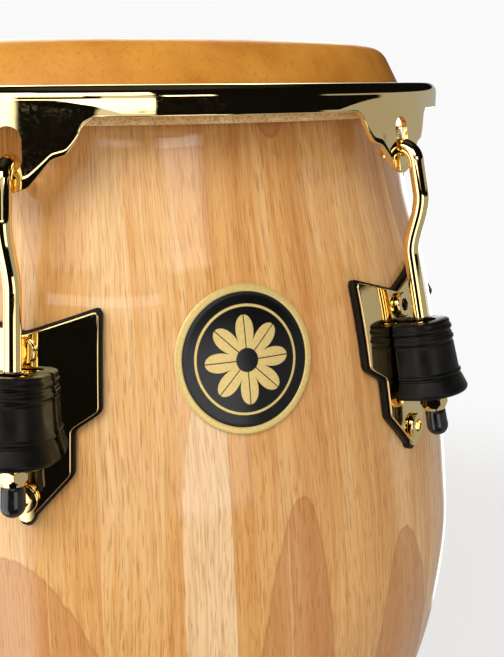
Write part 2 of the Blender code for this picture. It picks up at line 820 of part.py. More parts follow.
def nut_mesh():
    """A hexagon nut whose lower end tapers; it is turned as it was left after tuning."""
    bore = HOOK_DIAMETER / 2 + NUT_THREAD_CLEARANCE
    corner = NUT_ACROSS_FLATS / math.sqrt(3)
    loops = [circle(corner, 6, start=NUT_TURN), circle(bore / math.cos(math.pi / 12), 12)]
    mesh = flat_mesh("nut", loops, NUT_HEIGHT)
    mesh.transform(Matrix.Translation((0.0, 0.0, -RECEIVER_BOTTOM - SEAT_GAP - NUT_HEIGHT / 2)))
    nut = add_object("nut", mesh, None)
    end = NUT_END_DIAMETER / 2
    slope = (corner - end) / NUT_TAPER_HEIGHT
    above = NUT_HEIGHT + BEND_STEP
    bottom = -RECEIVER_BOTTOM - SEAT_GAP - NUT_HEIGHT
    work = bmesh.new()
    bmesh.ops.create_cone(
        work,
        cap_ends=True,
        segments=24,
        radius1=end,
        radius2=end + slope * above,
        depth=above,
        matrix=Matrix.Translation((0.0, 0.0, bottom + above / 2)),
    )
    cone = bpy.data.meshes.new("nut_taper")
    work.to_mesh(cone)
    work.free()
    cut(nut, add_cutter("nut_taper", cone), "INTERSECT")
    return joined_mesh("nut", nut)


def strip_mesh():
    """The backing strip inside the shell, which the bolts screw into."""
    top = -(BOLT_DEPTHS[0] - STRIP_MARGIN)
    bottom = -(BOLT_DEPTHS[1] + STRIP_MARGIN)
    half = STRIP_WIDTH / 2
    outline = round_corners([(half, top), (-half, top), (-half, bottom), (half, bottom)], half / 2)
    inner_off = -(SHELL_WALL + STRIP_GAP + STRIP_SHEET)
    return shell_sheet("backing_strip", [outline, *bolt_hole_loops()], inner_off, STRIP_SHEET)


def smooth(piece):
    mesh = piece.data
    mesh.shade_smooth()
    mesh.set_sharp_from_angle(angle=math.radians(35))


def build_body():
    """The pieces that go round the drum's axis."""
    shell = turned("shell", shell_points(), SHELL_STEPS, WOOD)
    cut(shell, add_cutter("bolt_holes", bolt_hole_mesh()))
    turned("base_ring", base_ring_points(), SHELL_STEPS, RUBBER)
    turned("hide_head", hide_points(), SHELL_STEPS, HIDE, closed=False)
    turned("flesh_hoop", hoop_points(), SHELL_STEPS, HOOP_HIDE)
    rim = add_object("rim", rim_mesh(), GOLD)
    cut(rim, add_cutter("ear_slots", slot_cutter_mesh()))
    outline = [(x, y - BADGE_DEPTH) for x, y in circle(BADGE_DIAMETER / 2, 28)]
    badge = add_object("badge", shell_sheet("badge", [outline], SEAT_GAP, BADGE_SHEET), BADGE_BLACK)
    badge.rotation_euler.z = -math.pi / 2
    smooth(rim)


def build_lugs():
    """Six lugs, each on its own empty, with a second empty on the rod line."""
    gasket_loops = [plate_outline(GASKET_MARGIN), *bolt_hole_loops()]
    gasket = shell_sheet("gasket", gasket_loops, SEAT_GAP, GASKET_THICKNESS)
    plate = side_plate_mesh()
    strip = strip_mesh()
    guard = guard_mesh()
    hook = hook_mesh()
    nut = nut_mesh()
    for lug in range(LUGS):
        number = lug + 1
        mount = bpy.data.objects.new(f"lug_{number}", None)
        DRUM.objects.link(mount)
        mount.rotation_euler.z = FIRST_LUG_ANGLE + lug * 2 * math.pi / LUGS
        rod = bpy.data.objects.new(f"rod_line_{number}", None)
        DRUM.objects.link(rod)
        rod.parent = mount
        rod.matrix_local = ROD_FRAME
        add_object(f"gasket_{number}", gasket, RUBBER, mount)
        add_object(f"side_plate_{number}", plate, GOLD, mount)
        add_object(f"backing_strip_{number}", strip, STEEL, mount)
        add_object(f"guard_{number}", guard, RUBBER, rod)
        add_object(f"hook_{number}", hook, GOLD, rod)
        add_object(f"tuning_nut_{number}", nut, GOLD, rod)
        turned(f"thread_cap_{number}", cap_points(), TURN_STEPS, RUBBER, rod, closed=False)
        for place, depth in zip(("upper", "lower"), BOLT_DEPTHS):
            bolt = turned(f"{place}_bolt_{number}", bolt_points(), TURN_STEPS, GOLD, mount, closed=False)
            bolt.matrix_local = bolt_frame(depth)


clear_scene()
DRUM = new_collection("tumba")
CUTTERS = new_collection("cutters", hidden=True)
WOOD = new_material("lacquered_wood", (0.62, 0.38, 0.17), 0.25)
HIDE = new_material("hide", (0.72, 0.36, 0.10), 0.45)
HOOP_HIDE = new_material("raw_hide", (0.62, 0.42, 0.27), 0.7)
GOLD = new_material("gold_plate", (0.85, 0.66, 0.30), 0.12, 1.0)
STEEL = new_material("zinc_steel", (0.60, 0.60, 0.58), 0.4, 1.0)
RUBBER = new_material("black_rubber", (0.02, 0.02, 0.02), 0.5)
BADGE_BLACK = new_material("badge_black", (0.015, 0.015, 0.015), 0.3)
build_body()
build_lugs()
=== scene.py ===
"""The look of a tumba: a staved drum with a hide head, gold-coloured rim and hooks, and rubber guards.

Metres, +Z up. Angles round the drum are counted from its front, -Y, where the badge is, towards +X.
Depths are measured down from the rim's top face.
"""

import math

import bmesh
import bpy
import numpy as np
from mathutils import Matrix, Vector


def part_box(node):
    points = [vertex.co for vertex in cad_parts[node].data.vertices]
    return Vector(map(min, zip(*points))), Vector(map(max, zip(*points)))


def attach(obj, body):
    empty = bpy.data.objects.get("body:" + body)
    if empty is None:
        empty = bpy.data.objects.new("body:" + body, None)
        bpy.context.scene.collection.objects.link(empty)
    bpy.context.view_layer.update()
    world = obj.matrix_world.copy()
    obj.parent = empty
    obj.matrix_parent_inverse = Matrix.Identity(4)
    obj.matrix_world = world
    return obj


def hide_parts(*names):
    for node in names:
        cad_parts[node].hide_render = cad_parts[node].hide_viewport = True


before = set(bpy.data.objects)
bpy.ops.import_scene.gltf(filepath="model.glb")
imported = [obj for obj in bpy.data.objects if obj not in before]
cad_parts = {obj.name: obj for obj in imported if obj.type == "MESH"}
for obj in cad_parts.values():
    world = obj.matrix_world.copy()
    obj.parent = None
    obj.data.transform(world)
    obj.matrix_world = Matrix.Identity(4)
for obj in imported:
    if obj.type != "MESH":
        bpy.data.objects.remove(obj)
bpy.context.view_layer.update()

rim_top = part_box("rim")[1].z


# The studio. One soft lamp stands high on the left and the room is pale behind the drum.
# Polished metal and lacquer also show the cards that stand round the drum: a white one low on the
# left, beige ones on the right, pale ones behind, and black cloth between them and above.

scene = bpy.context.scene
scene.view_settings.view_transform = "Standard"


def node(tree, kind, inputs=(), out=0, **settings):
    """A shader node with its options and inputs set; a socket given as a value is linked."""
    made = tree.nodes.new("ShaderNode" + kind)
    for key, value in settings.items():
        setattr(made, key, value)
    for key, value in dict(inputs).items():
        if isinstance(value, bpy.types.NodeSocket):
            tree.links.new(value, made.inputs[key])
        else:
            made.inputs[key].default_value = value
    return made.outputs[out] if made.outputs else made


def calc(tree, operation, a, b=0.0, c=0.0):
    return node(tree, "Math", {0: a, 1: b, 2: c}, operation=operation)


def fade(tree, value, start, end, low=0.0, high=1.0):
    """Runs smoothly from low to high as the value goes from start to end."""
    inputs = {"Value": value, "From Min": start, "From Max": end, "To Min": low, "To Max": high}
    return node(tree, "MapRange", inputs, interpolation_type="SMOOTHSTEP")


def panel(tree, across, up, left, right, low, high, soft, drop, strength):
    """A soft-edged card of light between two azimuths in degrees and two heights in metres."""
    wide = calc(tree, "MULTIPLY", fade(tree, across, left - soft, left + soft), fade(tree, across, right + soft, right - soft))
    tall = calc(tree, "MULTIPLY", fade(tree, up, low - drop, low + drop), fade(tree, up, high + drop, high - drop))
    return calc(tree, "MULTIPLY", calc(tree, "MULTIPLY", wide, tall), strength)


room = bpy.data.worlds.new("studio_room")
scene.world = room
room.use_nodes = True
walls = room.node_tree
walls.nodes.clear()
heading = node(walls, "TexCoord")
height = calc(walls, "MULTIPLY", calc(walls, "ARCSINE", node(walls, "SeparateXYZ", {0: heading}, out=2)), 57.2958)
light = calc(walls, "ADD", 0.012, fade(walls, height, 64, 74, 0.0, 0.03))
light = calc(walls, "ADD", light, fade(walls, height, -20, -60, 0.0, 0.4))
mirrored = node(walls, "Background", {"Color": (1.0, 1.0, 1.0, 1.0), "Strength": light})
soft_room = node(walls, "Background", {"Color": (1.0, 0.89, 0.72, 1.0), "Strength": 0.46})
backdrop = node(walls, "Background", {"Color": (0.95, 0.95, 0.95, 1.0), "Strength": 1.0})
seen = {name: node(walls, "LightPath", out=i) for name, i in (("camera", 0), ("glossy", 3))}
lit = node(walls, "MixShader", {0: seen["glossy"], 1: soft_room, 2: mirrored})
lit = node(walls, "MixShader", {0: seen["camera"], 1: lit, 2: backdrop})
node(walls, "OutputWorld", {"Surface": lit})



def curved_card(name, distance, first, last, low, high):
    """An upright sheet bent round the drum's axis, between two azimuths in degrees and two heights."""
    turn = np.radians(np.linspace(first, last, 121))
    points = [
        np.stack([distance * np.sin(turn), -distance * np.cos(turn), 0 * turn + level], axis=1) for level in (low, high)
    ]
    sheet = bpy.data.meshes.new(name)
    sheet.from_pydata(np.concatenate(points).tolist(), [], [[k, k + 1, 122 + k, 121 + k] for k in range(120)])
    card = bpy.data.objects.new(name, sheet)
    scene.collection.objects.link(card)
    for sense in ("visible_camera", "visible_diffuse", "visible_transmission", "visible_shadow", "visible_volume_scatter"):
        setattr(card, sense, False)
    return sheet


board = bpy.data.materials.new("card_board")
board.use_nodes = True
faces = board.node_tree
faces.nodes.clear()
spot = node(faces, "TexCoord", out=3)
x, y, z = (node(faces, "SeparateXYZ", {0: spot}, out=i) for i in range(3))
azimuth = calc(faces, "MULTIPLY", calc(faces, "ARCTAN2", x, calc(faces, "MULTIPLY", y, -1.0)), 57.2958)
light = 0.004
for card in (
    (-21.0, -7.5, rim_top - 0.002, rim_top + 0.110, 0.8, 0.010, 0.8),
    (-47.0, -26.0, rim_top + 0.085, rim_top + 0.165, 0.8, 0.006, 1.2),
    (-47.0, -7.5, rim_top + 0.165, rim_top + 0.42, 0.8, 0.010, 3.2),
    (-96.0, -43.5, -0.1, 1.2, 1.5, 0.03, 2.5),
    (-7.5, 14.0, rim_top - 0.30, rim_top - 0.040, 1.0, 0.010, 2.0),
    (-5.0, 8.5, rim_top + 0.076, rim_top + 0.118, 1.0, 0.010, 3.4),
    (-5.0, 8.5, rim_top + 0.118, rim_top + 0.134, 0.6, 0.002, 4.5),
    (-24.0, -12.0, rim_top + 0.124, rim_top + 0.136, 1.5, 0.002, 2.2),
    (17.0, 150.0, -0.1, rim_top - 0.055, 2.0, 0.010, 0.40),
    (42.0, 66.0, rim_top + 0.012, rim_top + 0.064, 2.0, 0.002, 0.40),
    (66.0, 150.0, rim_top - 0.055, rim_top + 0.062, 2.0, 0.002, 0.40),
):
    light = calc(faces, "ADD", light, panel(faces, azimuth, z, *card))
behind = calc(faces, "ABSOLUTE", azimuth)
rear = calc(faces, "MULTIPLY", fade(faces, behind, 126, 138), fade(faces, z, 0.28, 0.36))
low_rear = panel(faces, behind, z, 114.0, 136.0, 0.06, rim_top - 0.075, 7.0, 0.03, 1.5)
light = calc(faces, "ADD", light, calc(faces, "MULTIPLY", calc(faces, "ADD", rear, low_rear), 3.0))
node(faces, "OutputMaterial", {"Surface": node(faces, "Emission", {"Color": (1.0, 1.0, 1.0, 1.0), "Strength": light})})
curved_card("studio_cards", 0.60, -180.0, 180.0, -0.15, 1.55).materials.append(board)
white_board = bpy.data.materials.new("white_strip")
white_board.use_nodes = True
tape = white_board.node_tree
tape.nodes.clear()
node(tape, "OutputMaterial", {"Surface": node(tape, "Emission", {"Color": (1.0, 1.0, 1.0, 1.0), "Strength": 2.8})})
curved_card("rim_strip_card", 0.45, -42.0, -8.0, rim_top - 0.0158, rim_top - 0.0020).materials.append(white_board)

for name, bearing, lift, reach, size, power in (
    ("key_lamp", -44, 41, 1.9, 1.1, 26.0),
    ("fill_lamp", 10, 20, 2.4, 1.2, 5.0),
):
    lamp = bpy.data.lights.new(name, "AREA")
    lamp.size = size
    lamp.energy = power
    stand = bpy.data.objects.new(name, lamp)
    scene.collection.objects.link(stand)
    level = math.radians(lift)
    turn = math.radians(bearing)
    out = Vector((math.sin(turn) * math.cos(level), -math.cos(turn) * math.cos(level), math.sin(level)))
    stand.location = Vector((0.0, 0.0, 0.55)) + out * reach
    stand.rotation_euler = out.to_track_quat("Z", "Y").to_euler()
    stand.visible_glossy = False

floor_radius = 1.6
ring = np.linspace(0.0, 2 * math.pi, 96, endpoint=False)
floor_points = np.stack([floor_radius * np.cos(ring), floor_radius * np.sin(ring), 0 * ring - 0.0002], 1)
floor_mesh = bpy.data.meshes.new("pale_floor")
floor_mesh.from_pydata(floor_points.tolist(), [], [list(range(96))])
floor = bpy.data.objects.new("pale_floor", floor_mesh)
scene.collection.objects.link(floor)
paper = bpy.data.materials.new("pale_paper")
paper.use_nodes = True
sheet = paper.node_tree
sheet.nodes.clear()
spot = node(sheet, "TexCoord", out=3)
away = node(sheet, "VectorMath", {0: spot}, out=1, operation="LENGTH")
matt = node(sheet, "BsdfDiffuse", {"Color": (0.86, 0.86, 0.86, 1.0)})
glow = node(sheet, "Emission", {"Color": (0.95, 0.95, 0.95, 1.0), "Strength": 1.0})
clear = node(sheet, "BsdfTransparent")
by_eye = calc(sheet, "MULTIPLY", node(sheet, "LightPath", out=0), 0.72)
toned = node(sheet, "MixShader", {0: by_eye, 1: matt, 2: glow})
edge = fade(sheet, away, 0.6 * floor_radius, 0.97 * floor_radius)
toned = node(sheet, "MixShader", {0: edge, 1: toned, 2: clear})
node(sheet, "OutputMaterial", {"Surface": toned})
floor_mesh.materials.append(paper)
floor.visible_glossy = False

lens = bpy.data.cameras.new("studio_camera")
lens.lens = 46.41
lens.sensor_width = 36.0
lens.clip_start = 0.02
eye = bpy.data.objects.new("studio_camera", lens)
scene.collection.objects.link(eye)
level = Vector((0.3935, 0.9193, 0.0)).normalized()
right = Vector((level.y, -level.x, 0.0))
dip = math.radians(15.84)
lean = math.radians(-0.54)
ahead = level * math.cos(dip) - Vector((0.0, 0.0, math.sin(dip)))
above = Vector((0.0, 0.0, math.cos(dip))) + level * math.sin(dip)
side = right * math.cos(lean) + above * math.sin(lean)
above = above * math.cos(lean) - right * math.sin(lean)
stance = Matrix((side, above, -ahead)).transposed().to_4x4()
eye.matrix_world = Matrix.Translation((-0.1412, -0.5233, rim_top - 0.0021)) @ stance
scene.camera = eye


# The shell: tapered staves of pale hardwood glued edge to edge, turned to a belly, sanded
# and sprayed with clear gloss lacquer. Its top is rounded over under the hide.

shell_outline = np.array([
    (-0.0069, 0.1567), (0.020, 0.1622), (0.060, 0.1707), (0.080, 0.1767), (0.100, 0.1822),
    (0.120, 0.1868), (0.140, 0.1905), (0.170, 0.1950), (0.200, 0.1985), (0.235, 0.2022),
    (0.265, 0.2045), (0.300, 0.2028), (0.330, 0.1987), (0.400, 0.1800), (0.480, 0.1583),
    (0.580, 0.1395), (0.7383, 0.1245),
])
shell_wall = 0.011
stave_width = 17.64
first_joint = -3.6
shoulder_centre = (0.146, rim_top + 0.0069)


def shell_radius(depth):
    """Outer radius at a depth: a cubic between the outline's points, with their mean slopes."""
    depths, radii = shell_outline.T
    slopes = np.gradient(radii, depths)
    depth = np.clip(depth, depths[0], depths[-1])
    i = np.clip(np.searchsorted(depths, depth) - 1, 0, len(depths) - 2)
    span = depths[i + 1] - depths[i]
    t = (depth - depths[i]) / span
    ease = t * t * (3 - 2 * t)
    bow = span * (slopes[i] * t * (1 - t) ** 2 - slopes[i + 1] * t * t * (1 - t))
    return radii[i] * (1 - ease) + radii[i + 1] * ease + bow


def off_shell(depth, off):
    """(radius, height) at a distance off the shell's outer face, along its normal."""
    slope = (shell_radius(depth + 0.001) - shell_radius(depth - 0.001)) / 0.002
    tilt = np.arctan(slope)
    return shell_radius(depth) + off * np.cos(tilt), rim_top - depth + off * np.sin(tilt)


def spun(profile, steps):
    """A profile of (radius, height) points carried round the axis: each point runs round a circle."""
    turn = np.linspace(0.0, 2 * math.pi, steps, endpoint=False)
    radius, level = (np.asarray(part, float)[:, None] for part in zip(*profile))
    return np.stack([radius * np.cos(turn), radius * np.sin(turn), level + 0 * turn], axis=2)


def quads(rows, columns, rows_join, columns_join):
    """Corner numbers of the quads between neighbours on a grid numbered row by row."""
    row = np.arange(rows if rows_join else rows - 1)
    column = np.arange(columns if columns_join else columns - 1)
    row, column = (part.ravel() for part in np.meshgrid(row, column, indexing="ij"))
    below, beside = (row + 1) % rows, (column + 1) % columns
    corners = (row * columns + column, row * columns + beside, below * columns + beside, below * columns + column)
    return np.stack(corners, axis=1)


def solid(name, skins, crease=35.0):
    """One closed mesh from grids of points, each with whether its rows and its columns join up.

    Doubled points are merged, which closes seams and poles, and the faces are turned outwards.
    """
    points, faces, count = [], [], 0
    for grid, rows_join, columns_join in skins:
        rows, columns = grid.shape[:2]
        points.append(grid.reshape(-1, 3))
        faces.append(quads(rows, columns, rows_join, columns_join) + count)
        count += rows * columns
    mesh = bpy.data.meshes.new(name)
    mesh.from_pydata(np.concatenate(points).tolist(), [], np.concatenate(faces).tolist())
    work = bmesh.new()
    work.from_mesh(mesh)
    bmesh.ops.remove_doubles(work, verts=work.verts, dist=2e-6)
    bmesh.ops.recalc_face_normals(work, faces=work.faces)
    work.to_mesh(mesh)
    work.free()
    mesh.shade_smooth()
    mesh.set_sharp_from_angle(angle=math.radians(crease))
    return mesh


def fitted(mesh, material, body, slot, *nodes):
    """The mesh as a finished piece that rides on a body, in place of its plain solids."""
    piece = bpy.data.objects.new(mesh.name, mesh)
    scene.collection.objects.link(piece)
    mesh.materials.append(material)
    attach(piece, body)
    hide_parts(*nodes)
    return piece


def finish(name, **sockets):
    """A new material: its node tree and its shader, with the shader's plain values set."""
    material = bpy.data.materials.new(name)
    material.use_nodes = True
    shader = material.node_tree.nodes["Principled BSDF"]
    for socket, value in sockets.items():
        shader.inputs[socket.replace("_", " ")].default_value = value
    return material, material.node_tree, shader


def linear(red, green, blue):
    """A colour read off as 0 to 255, turned into the linear values that the shader mixes."""
    value = np.array([red, green, blue]) / 255.0
    value = np.where(value > 0.04045, ((value + 0.055) / 1.055) ** 2.4, value / 12.92)
    return (*value.tolist(), 1.0)


def tinted(tree, amount, below, above):
    """Mixes two colours by an amount."""
    mix = {"Factor": amount, "A": below, "B": above}
    made = tree.nodes.new("ShaderNodeMix")
    made.data_type = "RGBA"
    for key, value in mix.items():
        socket = next(s for s in made.inputs if s.name == key and s.type == ("VALUE" if key == "Factor" else "RGBA"))
        if isinstance(value, bpy.types.NodeSocket):
            tree.links.new(value, socket)
        else:
            socket.default_value = value
    return next(s for s in made.outputs if s.type == "RGBA")


def stretched_noise(tree, across, along, wide, long, detail=2.0, shift=0.0, rough=0.5):
    """Noise whose blotches are about so many metres wide and long."""
    spot = node(tree, "CombineXYZ", {
        0: calc(tree, "ADD", calc(tree, "DIVIDE", across, wide), shift),
        1: calc(tree, "DIVIDE", along, long),
        2: shift,
    })
    return node(tree, "TexNoise", {"Vector": spot, "Scale": 1.0, "Detail": detail, "Roughness": rough})


edge = 0.0107
over = [
    (shoulder_centre[0] + edge * math.sin(a), shoulder_centre[1] + edge * math.cos(a))
    for a in np.radians(np.linspace(0, 90, 12))
]
foot = shell_outline[-1, 0]
outside = [(float(shell_radius(d)), rim_top - d) for d in np.linspace(-0.0068, foot - 0.0006, 170)]
underside = [(float(shell_radius(foot)) - 0.0006, rim_top - foot), (0.1141, rim_top - foot)]
inside = [
    tuple(float(v) for v in off_shell(d, -shell_wall)) for d in np.linspace(foot - 0.001, 0.010, 64)
]
lip = [(0.1442, rim_top + 0.0140), (0.1448, rim_top + 0.0168)]
shell_mesh = solid("stave_shell", [(spun([*over, *outside, *underside, *inside, *lip], 288), True, True)])

# Each arch in the grain: its tip's angle and depth, its half width squared over its length
# (degrees squared per metre), its lean (degrees per metre) and 1 if it opens downwards, -1 upwards.
heart_arches = (
    (7.0, 0.1897, 435.0, -21.0, 1), (8.5, 0.0242, 740.0, 10.0, -1), (-34.0, 0.206, 3000.0, 0.0, 1),
    (28.0, 0.230, 900.0, 8.0, 1), (47.0, 0.150, 700.0, 0.0, -1), (78.0, 0.260, 500.0, 5.0, 1),
    (112.0, 0.200, 900.0, -9.0, -1), (150.0, 0.300, 600.0, 0.0, 1), (-160.0, 0.240, 800.0, 6.0, -1),
    (-122.0, 0.330, 500.0, -6.0, 1), (-85.0, 0.170, 700.0, 4.0, -1), (-62.0, 0.310, 420.0, 0.0, 1),
    (5.0, 0.520, 300.0, 4.0, 1), (-30.0, 0.560, 350.0, -4.0, 1), (60.0, 0.500, 260.0, 0.0, 1),
    (130.0, 0.560, 300.0, 0.0, 1), (-105.0, 0.540, 300.0, 0.0, 1),
)
loop_arches = (
    (-18.3, 0.1288, 2300.0, 0.0, -1), (60.0, 0.240, 2600.0, 0.0, -1), (97.0, 0.310, 2200.0, 0.0, 1),
    (168.0, 0.160, 2400.0, 0.0, -1), (-140.0, 0.420, 2400.0, 0.0, 1), (-70.0, 0.250, 2600.0, 0.0, -1),
    (20.0, 0.400, 2600.0, 0.0, 1), (-12.0, 0.640, 1500.0, 0.0, -1), (90.0, 0.640, 1500.0, 0.0, -1),
)


def arch_field(angle, depth, arches):
    """Metres inside the nearest arch's edge: depth past its tip less the parabola, over its steepness."""
    best = np.full(angle.shape, -0.2)
    for tip, start, spread, lean, way in arches:
        drop = way * (depth - start)
        off = (angle - tip - lean * (depth - start) + 180.0) % 360.0 - 180.0
        off = np.where(np.abs(off) > 16.0, 40.0, off)
        steep = 2.0 * off / spread / math.radians(1.0) / 0.19
        best = np.maximum(best, (drop - off * off / spread) / np.sqrt(1.0 + steep * steep))
    return best


spots = np.empty(len(shell_mesh.vertices) * 3)
shell_mesh.vertices.foreach_get("co", spots)
spots = spots.reshape(-1, 3)
angles = np.degrees(np.arctan2(spots[:, 0], -spots[:, 1]))
depths = rim_top - spots[:, 2]
# A pale strip down one stave, low on the front: partly pale sapwood and partly a painted highlight for the lacquer's
# sheen there.
pale_edge = angles - (-10.7 + 2.4 * np.exp(-(depths - 0.14) / 0.028))
pale_strip = np.minimum(np.minimum(pale_edge, (first_joint - angles) * 4) * 0.0033, (depths - 0.131) * 0.5)
for name, values in (
    ("heartwood", arch_field(angles, depths, heart_arches)),
    ("grain_loop", arch_field(angles, depths, loop_arches)),
    ("sapwood_and_sheen", pale_strip),
):
    shell_mesh.attributes.new(name, "FLOAT", "POINT").data.foreach_set("value", values)

lacquered, grain, varnish = finish(
    "lacquered_staves", Roughness=0.5, Specular_IOR_Level=0.0, Coat_Weight=0.85, Coat_Roughness=0.035, Coat_IOR=1.5
)
spot = node(grain, "TexCoord", out=3)
x, y, z = (node(grain, "SeparateXYZ", {0: spot}, out=i) for i in range(3))
angle = calc(grain, "ARCTAN2", x, calc(grain, "MULTIPLY", y, -1.0))
across = calc(grain, "MULTIPLY", angle, 0.19)
along = calc(grain, "SUBTRACT", rim_top, z)
stave = calc(grain, "DIVIDE", calc(grain, "SUBTRACT", calc(grain, "MULTIPLY", angle, 57.2958), first_joint), stave_width)
number = calc(grain, "FLOOR", stave)
luck = node(grain, "TexWhiteNoise", {"W": calc(grain, "ADD", number, 5.2)}, noise_dimensions="1D")
shift = calc(grain, "MULTIPLY", luck, 60.0)
drift = stretched_noise(grain, across, along, 0.05, 0.22, 2.0, shift)
bent = calc(grain, "ADD", across, calc(grain, "MULTIPLY", calc(grain, "SUBTRACT", drift, 0.5), 0.02))
broad = stretched_noise(grain, bent, along, 0.022, 0.30, 2.0, shift)
streaks = stretched_noise(grain, bent, along, 0.0032, 0.16, 3.0, shift, 0.6)
fibres = stretched_noise(grain, bent, along, 0.0010, 0.045, 2.0, shift)
pores = stretched_noise(grain, bent, along, 0.00060, 0.012, 1.0, shift)
wobble = stretched_noise(grain, across, along, 0.004, 0.02, 3.0)
ragged = calc(grain, "MULTIPLY", calc(grain, "SUBTRACT", wobble, 0.5), 0.003)

tone = calc(grain, "ADD", calc(grain, "MULTIPLY", broad, 0.62), calc(grain, "MULTIPLY", streaks, 0.38))
tone = calc(grain, "ADD", tone, calc(grain, "MULTIPLY", calc(grain, "SUBTRACT", luck, 0.5), 0.22))
wood = tinted(grain, fade(grain, tone, 0.34, 0.52), linear(240, 200, 146), linear(228, 176, 112))
wood = tinted(grain, fade(grain, tone, 0.50, 0.68), wood, linear(208, 148, 88))
heart = calc(grain, "ADD", node(grain, "Attribute", out=2, attribute_name="heartwood"), ragged)
inside_heart = fade(grain, heart, -0.0004, 0.0006)
wood = tinted(grain, calc(grain, "MULTIPLY", inside_heart, 0.62), wood, linear(196, 134, 82))
heart_line = fade(grain, calc(grain, "ABSOLUTE", heart), 0.0011, 0.0001)
wood = tinted(grain, calc(grain, "MULTIPLY", heart_line, 0.30), wood, linear(150, 88, 44))
loop = calc(grain, "ADD", node(grain, "Attribute", out=2, attribute_name="grain_loop"), ragged)
loop_line = fade(grain, calc(grain, "ABSOLUTE", calc(grain, "ADD", loop, 0.0006)), 0.0022, 0.0002)
wood = tinted(grain, calc(grain, "MULTIPLY", loop_line, 0.34), wood, linear(178, 116, 70))
loop_glow = calc(grain, "MULTIPLY", fade(grain, loop, -0.016, -0.001), fade(grain, loop, 0.0005, -0.0005))
wood = tinted(grain, calc(grain, "MULTIPLY", loop_glow, 0.55), wood, linear(246, 212, 158))
# Real pale wood mixed with painted highlight: the strip is tinted a whitish cream that also stands in for the sheen on
# the lacquer.
sap_and_sheen = calc(grain, "ADD", node(grain, "Attribute", out=2, attribute_name="sapwood_and_sheen"), calc(grain, "MULTIPLY", ragged, 0.5))
wood = tinted(grain, calc(grain, "MULTIPLY", fade(grain, sap_and_sheen, -0.0003, 0.0007), 0.72), wood, linear(246, 215, 172))
wood = tinted(grain, calc(grain, "MULTIPLY", fade(grain, fibres, 0.44, 0.66), 0.28), wood, linear(186, 122, 64))
wood = tinted(grain, calc(grain, "MULTIPLY", fade(grain, pores, 0.55, 0.68), 0.38), wood, linear(150, 86, 34))
seam = calc(grain, "ABSOLUTE", calc(grain, "SUBTRACT", calc(grain, "FRACT", stave), 0.5))
seam = fade(grain, seam, 0.4955, 0.4995)
wood = tinted(grain, calc(grain, "MULTIPLY", seam, 0.30), wood, linear(120, 68, 30))
grain.links.new(wood, varnish.inputs["Base Color"])
ripple = node(grain, "TexNoise", {"Vector": spot, "Scale": 26.0, "Detail": 1.0})
bump = node(grain, "Bump", {"Strength": 0.05, "Distance": 0.004, "Height": ripple})
bump = node(grain, "Bump", {"Strength": 0.10, "Distance": 0.0002, "Height": calc(grain, "MULTIPLY", pores, -1.0), "Normal": bump})
grain.links.new(bump, varnish.inputs["Normal"])
grain.links.new(bump, varnish.inputs["Coat Normal"])
fitted(shell_mesh, lacquered, "drum", "lacquered_wood", "shell")


# The foot ring: a moulded rubber angle pressed over the shell's lower end, with two bands
# run round its wall, for the drum to stand on.

foot_out = float(shell_radius(foot)) + 0.0003
wall_top = 0.024
ring_heights = np.linspace(wall_top - 0.0008, 0.0008, 40)
ring_wall = [
    (float(off_shell(rim_top - h, 0.0003)[0]) + 0.0030 - 0.0005 * math.exp(-(((h - 0.0165) / 0.0008) ** 2))
     - 0.0005 * math.exp(-(((h - 0.0075) / 0.0008) ** 2)), h)
    for h in ring_heights
]
top_in = float(off_shell(rim_top - wall_top, 0.0003)[0])
foot_profile = [
    (top_in + 0.0004, wall_top), (top_in + 0.0020, wall_top), *ring_wall,
    (foot_out + 0.0022, 0.0), (0.1141, 0.0), (0.1135, 0.0006), (0.1135, 0.0023), (0.1139, 0.0027),
    (foot_out, 0.0027), (top_in, wall_top - 0.0004),
]
moulded, rubber, skin = finish("moulded_rubber", Roughness=0.46, Specular_IOR_Level=0.45)
spot = node(rubber, "TexCoord", out=3)
dust = node(rubber, "TexNoise", {"Vector": spot, "Scale": 240.0, "Detail": 4.0})
rubber.links.new(
    tinted(rubber, fade(rubber, dust, 0.45, 0.75), (0.010, 0.010, 0.011, 1.0), (0.026, 0.025, 0.024, 1.0)),
    skin.inputs["Base Color"],
)
rubber.links.new(fade(rubber, dust, 0.3, 0.7, 0.38, 0.52), skin.inputs["Roughness"])
pimples = node(rubber, "TexNoise", {"Vector": spot, "Scale": 1500.0, "Detail": 2.0})
rubber.links.new(node(rubber, "Bump", {"Strength": 0.25, "Distance": 0.0002, "Height": pimples}), skin.inputs["Normal"])
fitted(solid("foot_rubber", [(spun(foot_profile, 192), True, True)]), moulded, "drum", "black_rubber", "base_ring")


# The head: one disc of amber cowhide soaked, drawn down over the shell's edge and dried hard,
# so that it is a stiff shallow cup with a rounded shoulder and a skirt.

hide_thickness = 0.0016
shoulder = 0.0126
crown = 0.0012


def hide_side(inset):
    """The outside or inside line of the hide: a low dome, the shoulder's arc, then the skirt."""
    middle = [
        (r, rim_top + 0.0207 - inset - crown * (r / shoulder_centre[0]) ** 2)
        for r in np.linspace(0.0, shoulder_centre[0], 26)
    ]
    bend = [
        (shoulder_centre[0] + (shoulder - inset) * math.sin(a), shoulder_centre[1] + (shoulder - inset) * math.cos(a))
        for a in np.radians(np.linspace(4, 62, 15))
    ]
    skirt = 0.1645 - inset
    knee = bend[-1][1] - (skirt - bend[-1][0]) / math.tan(math.radians(28))
    flank = [(bend[-1][0] + (skirt - bend[-1][0]) * t, bend[-1][1] + (knee - bend[-1][1]) * t) for t in (0.35, 0.7, 0.95)]
    low = rim_top - 0.0085
    straight = [(skirt, knee + (low - knee) * t) for t in (0.08, 0.5, 1.0)]
    return [*middle, *bend, *flank, *straight]


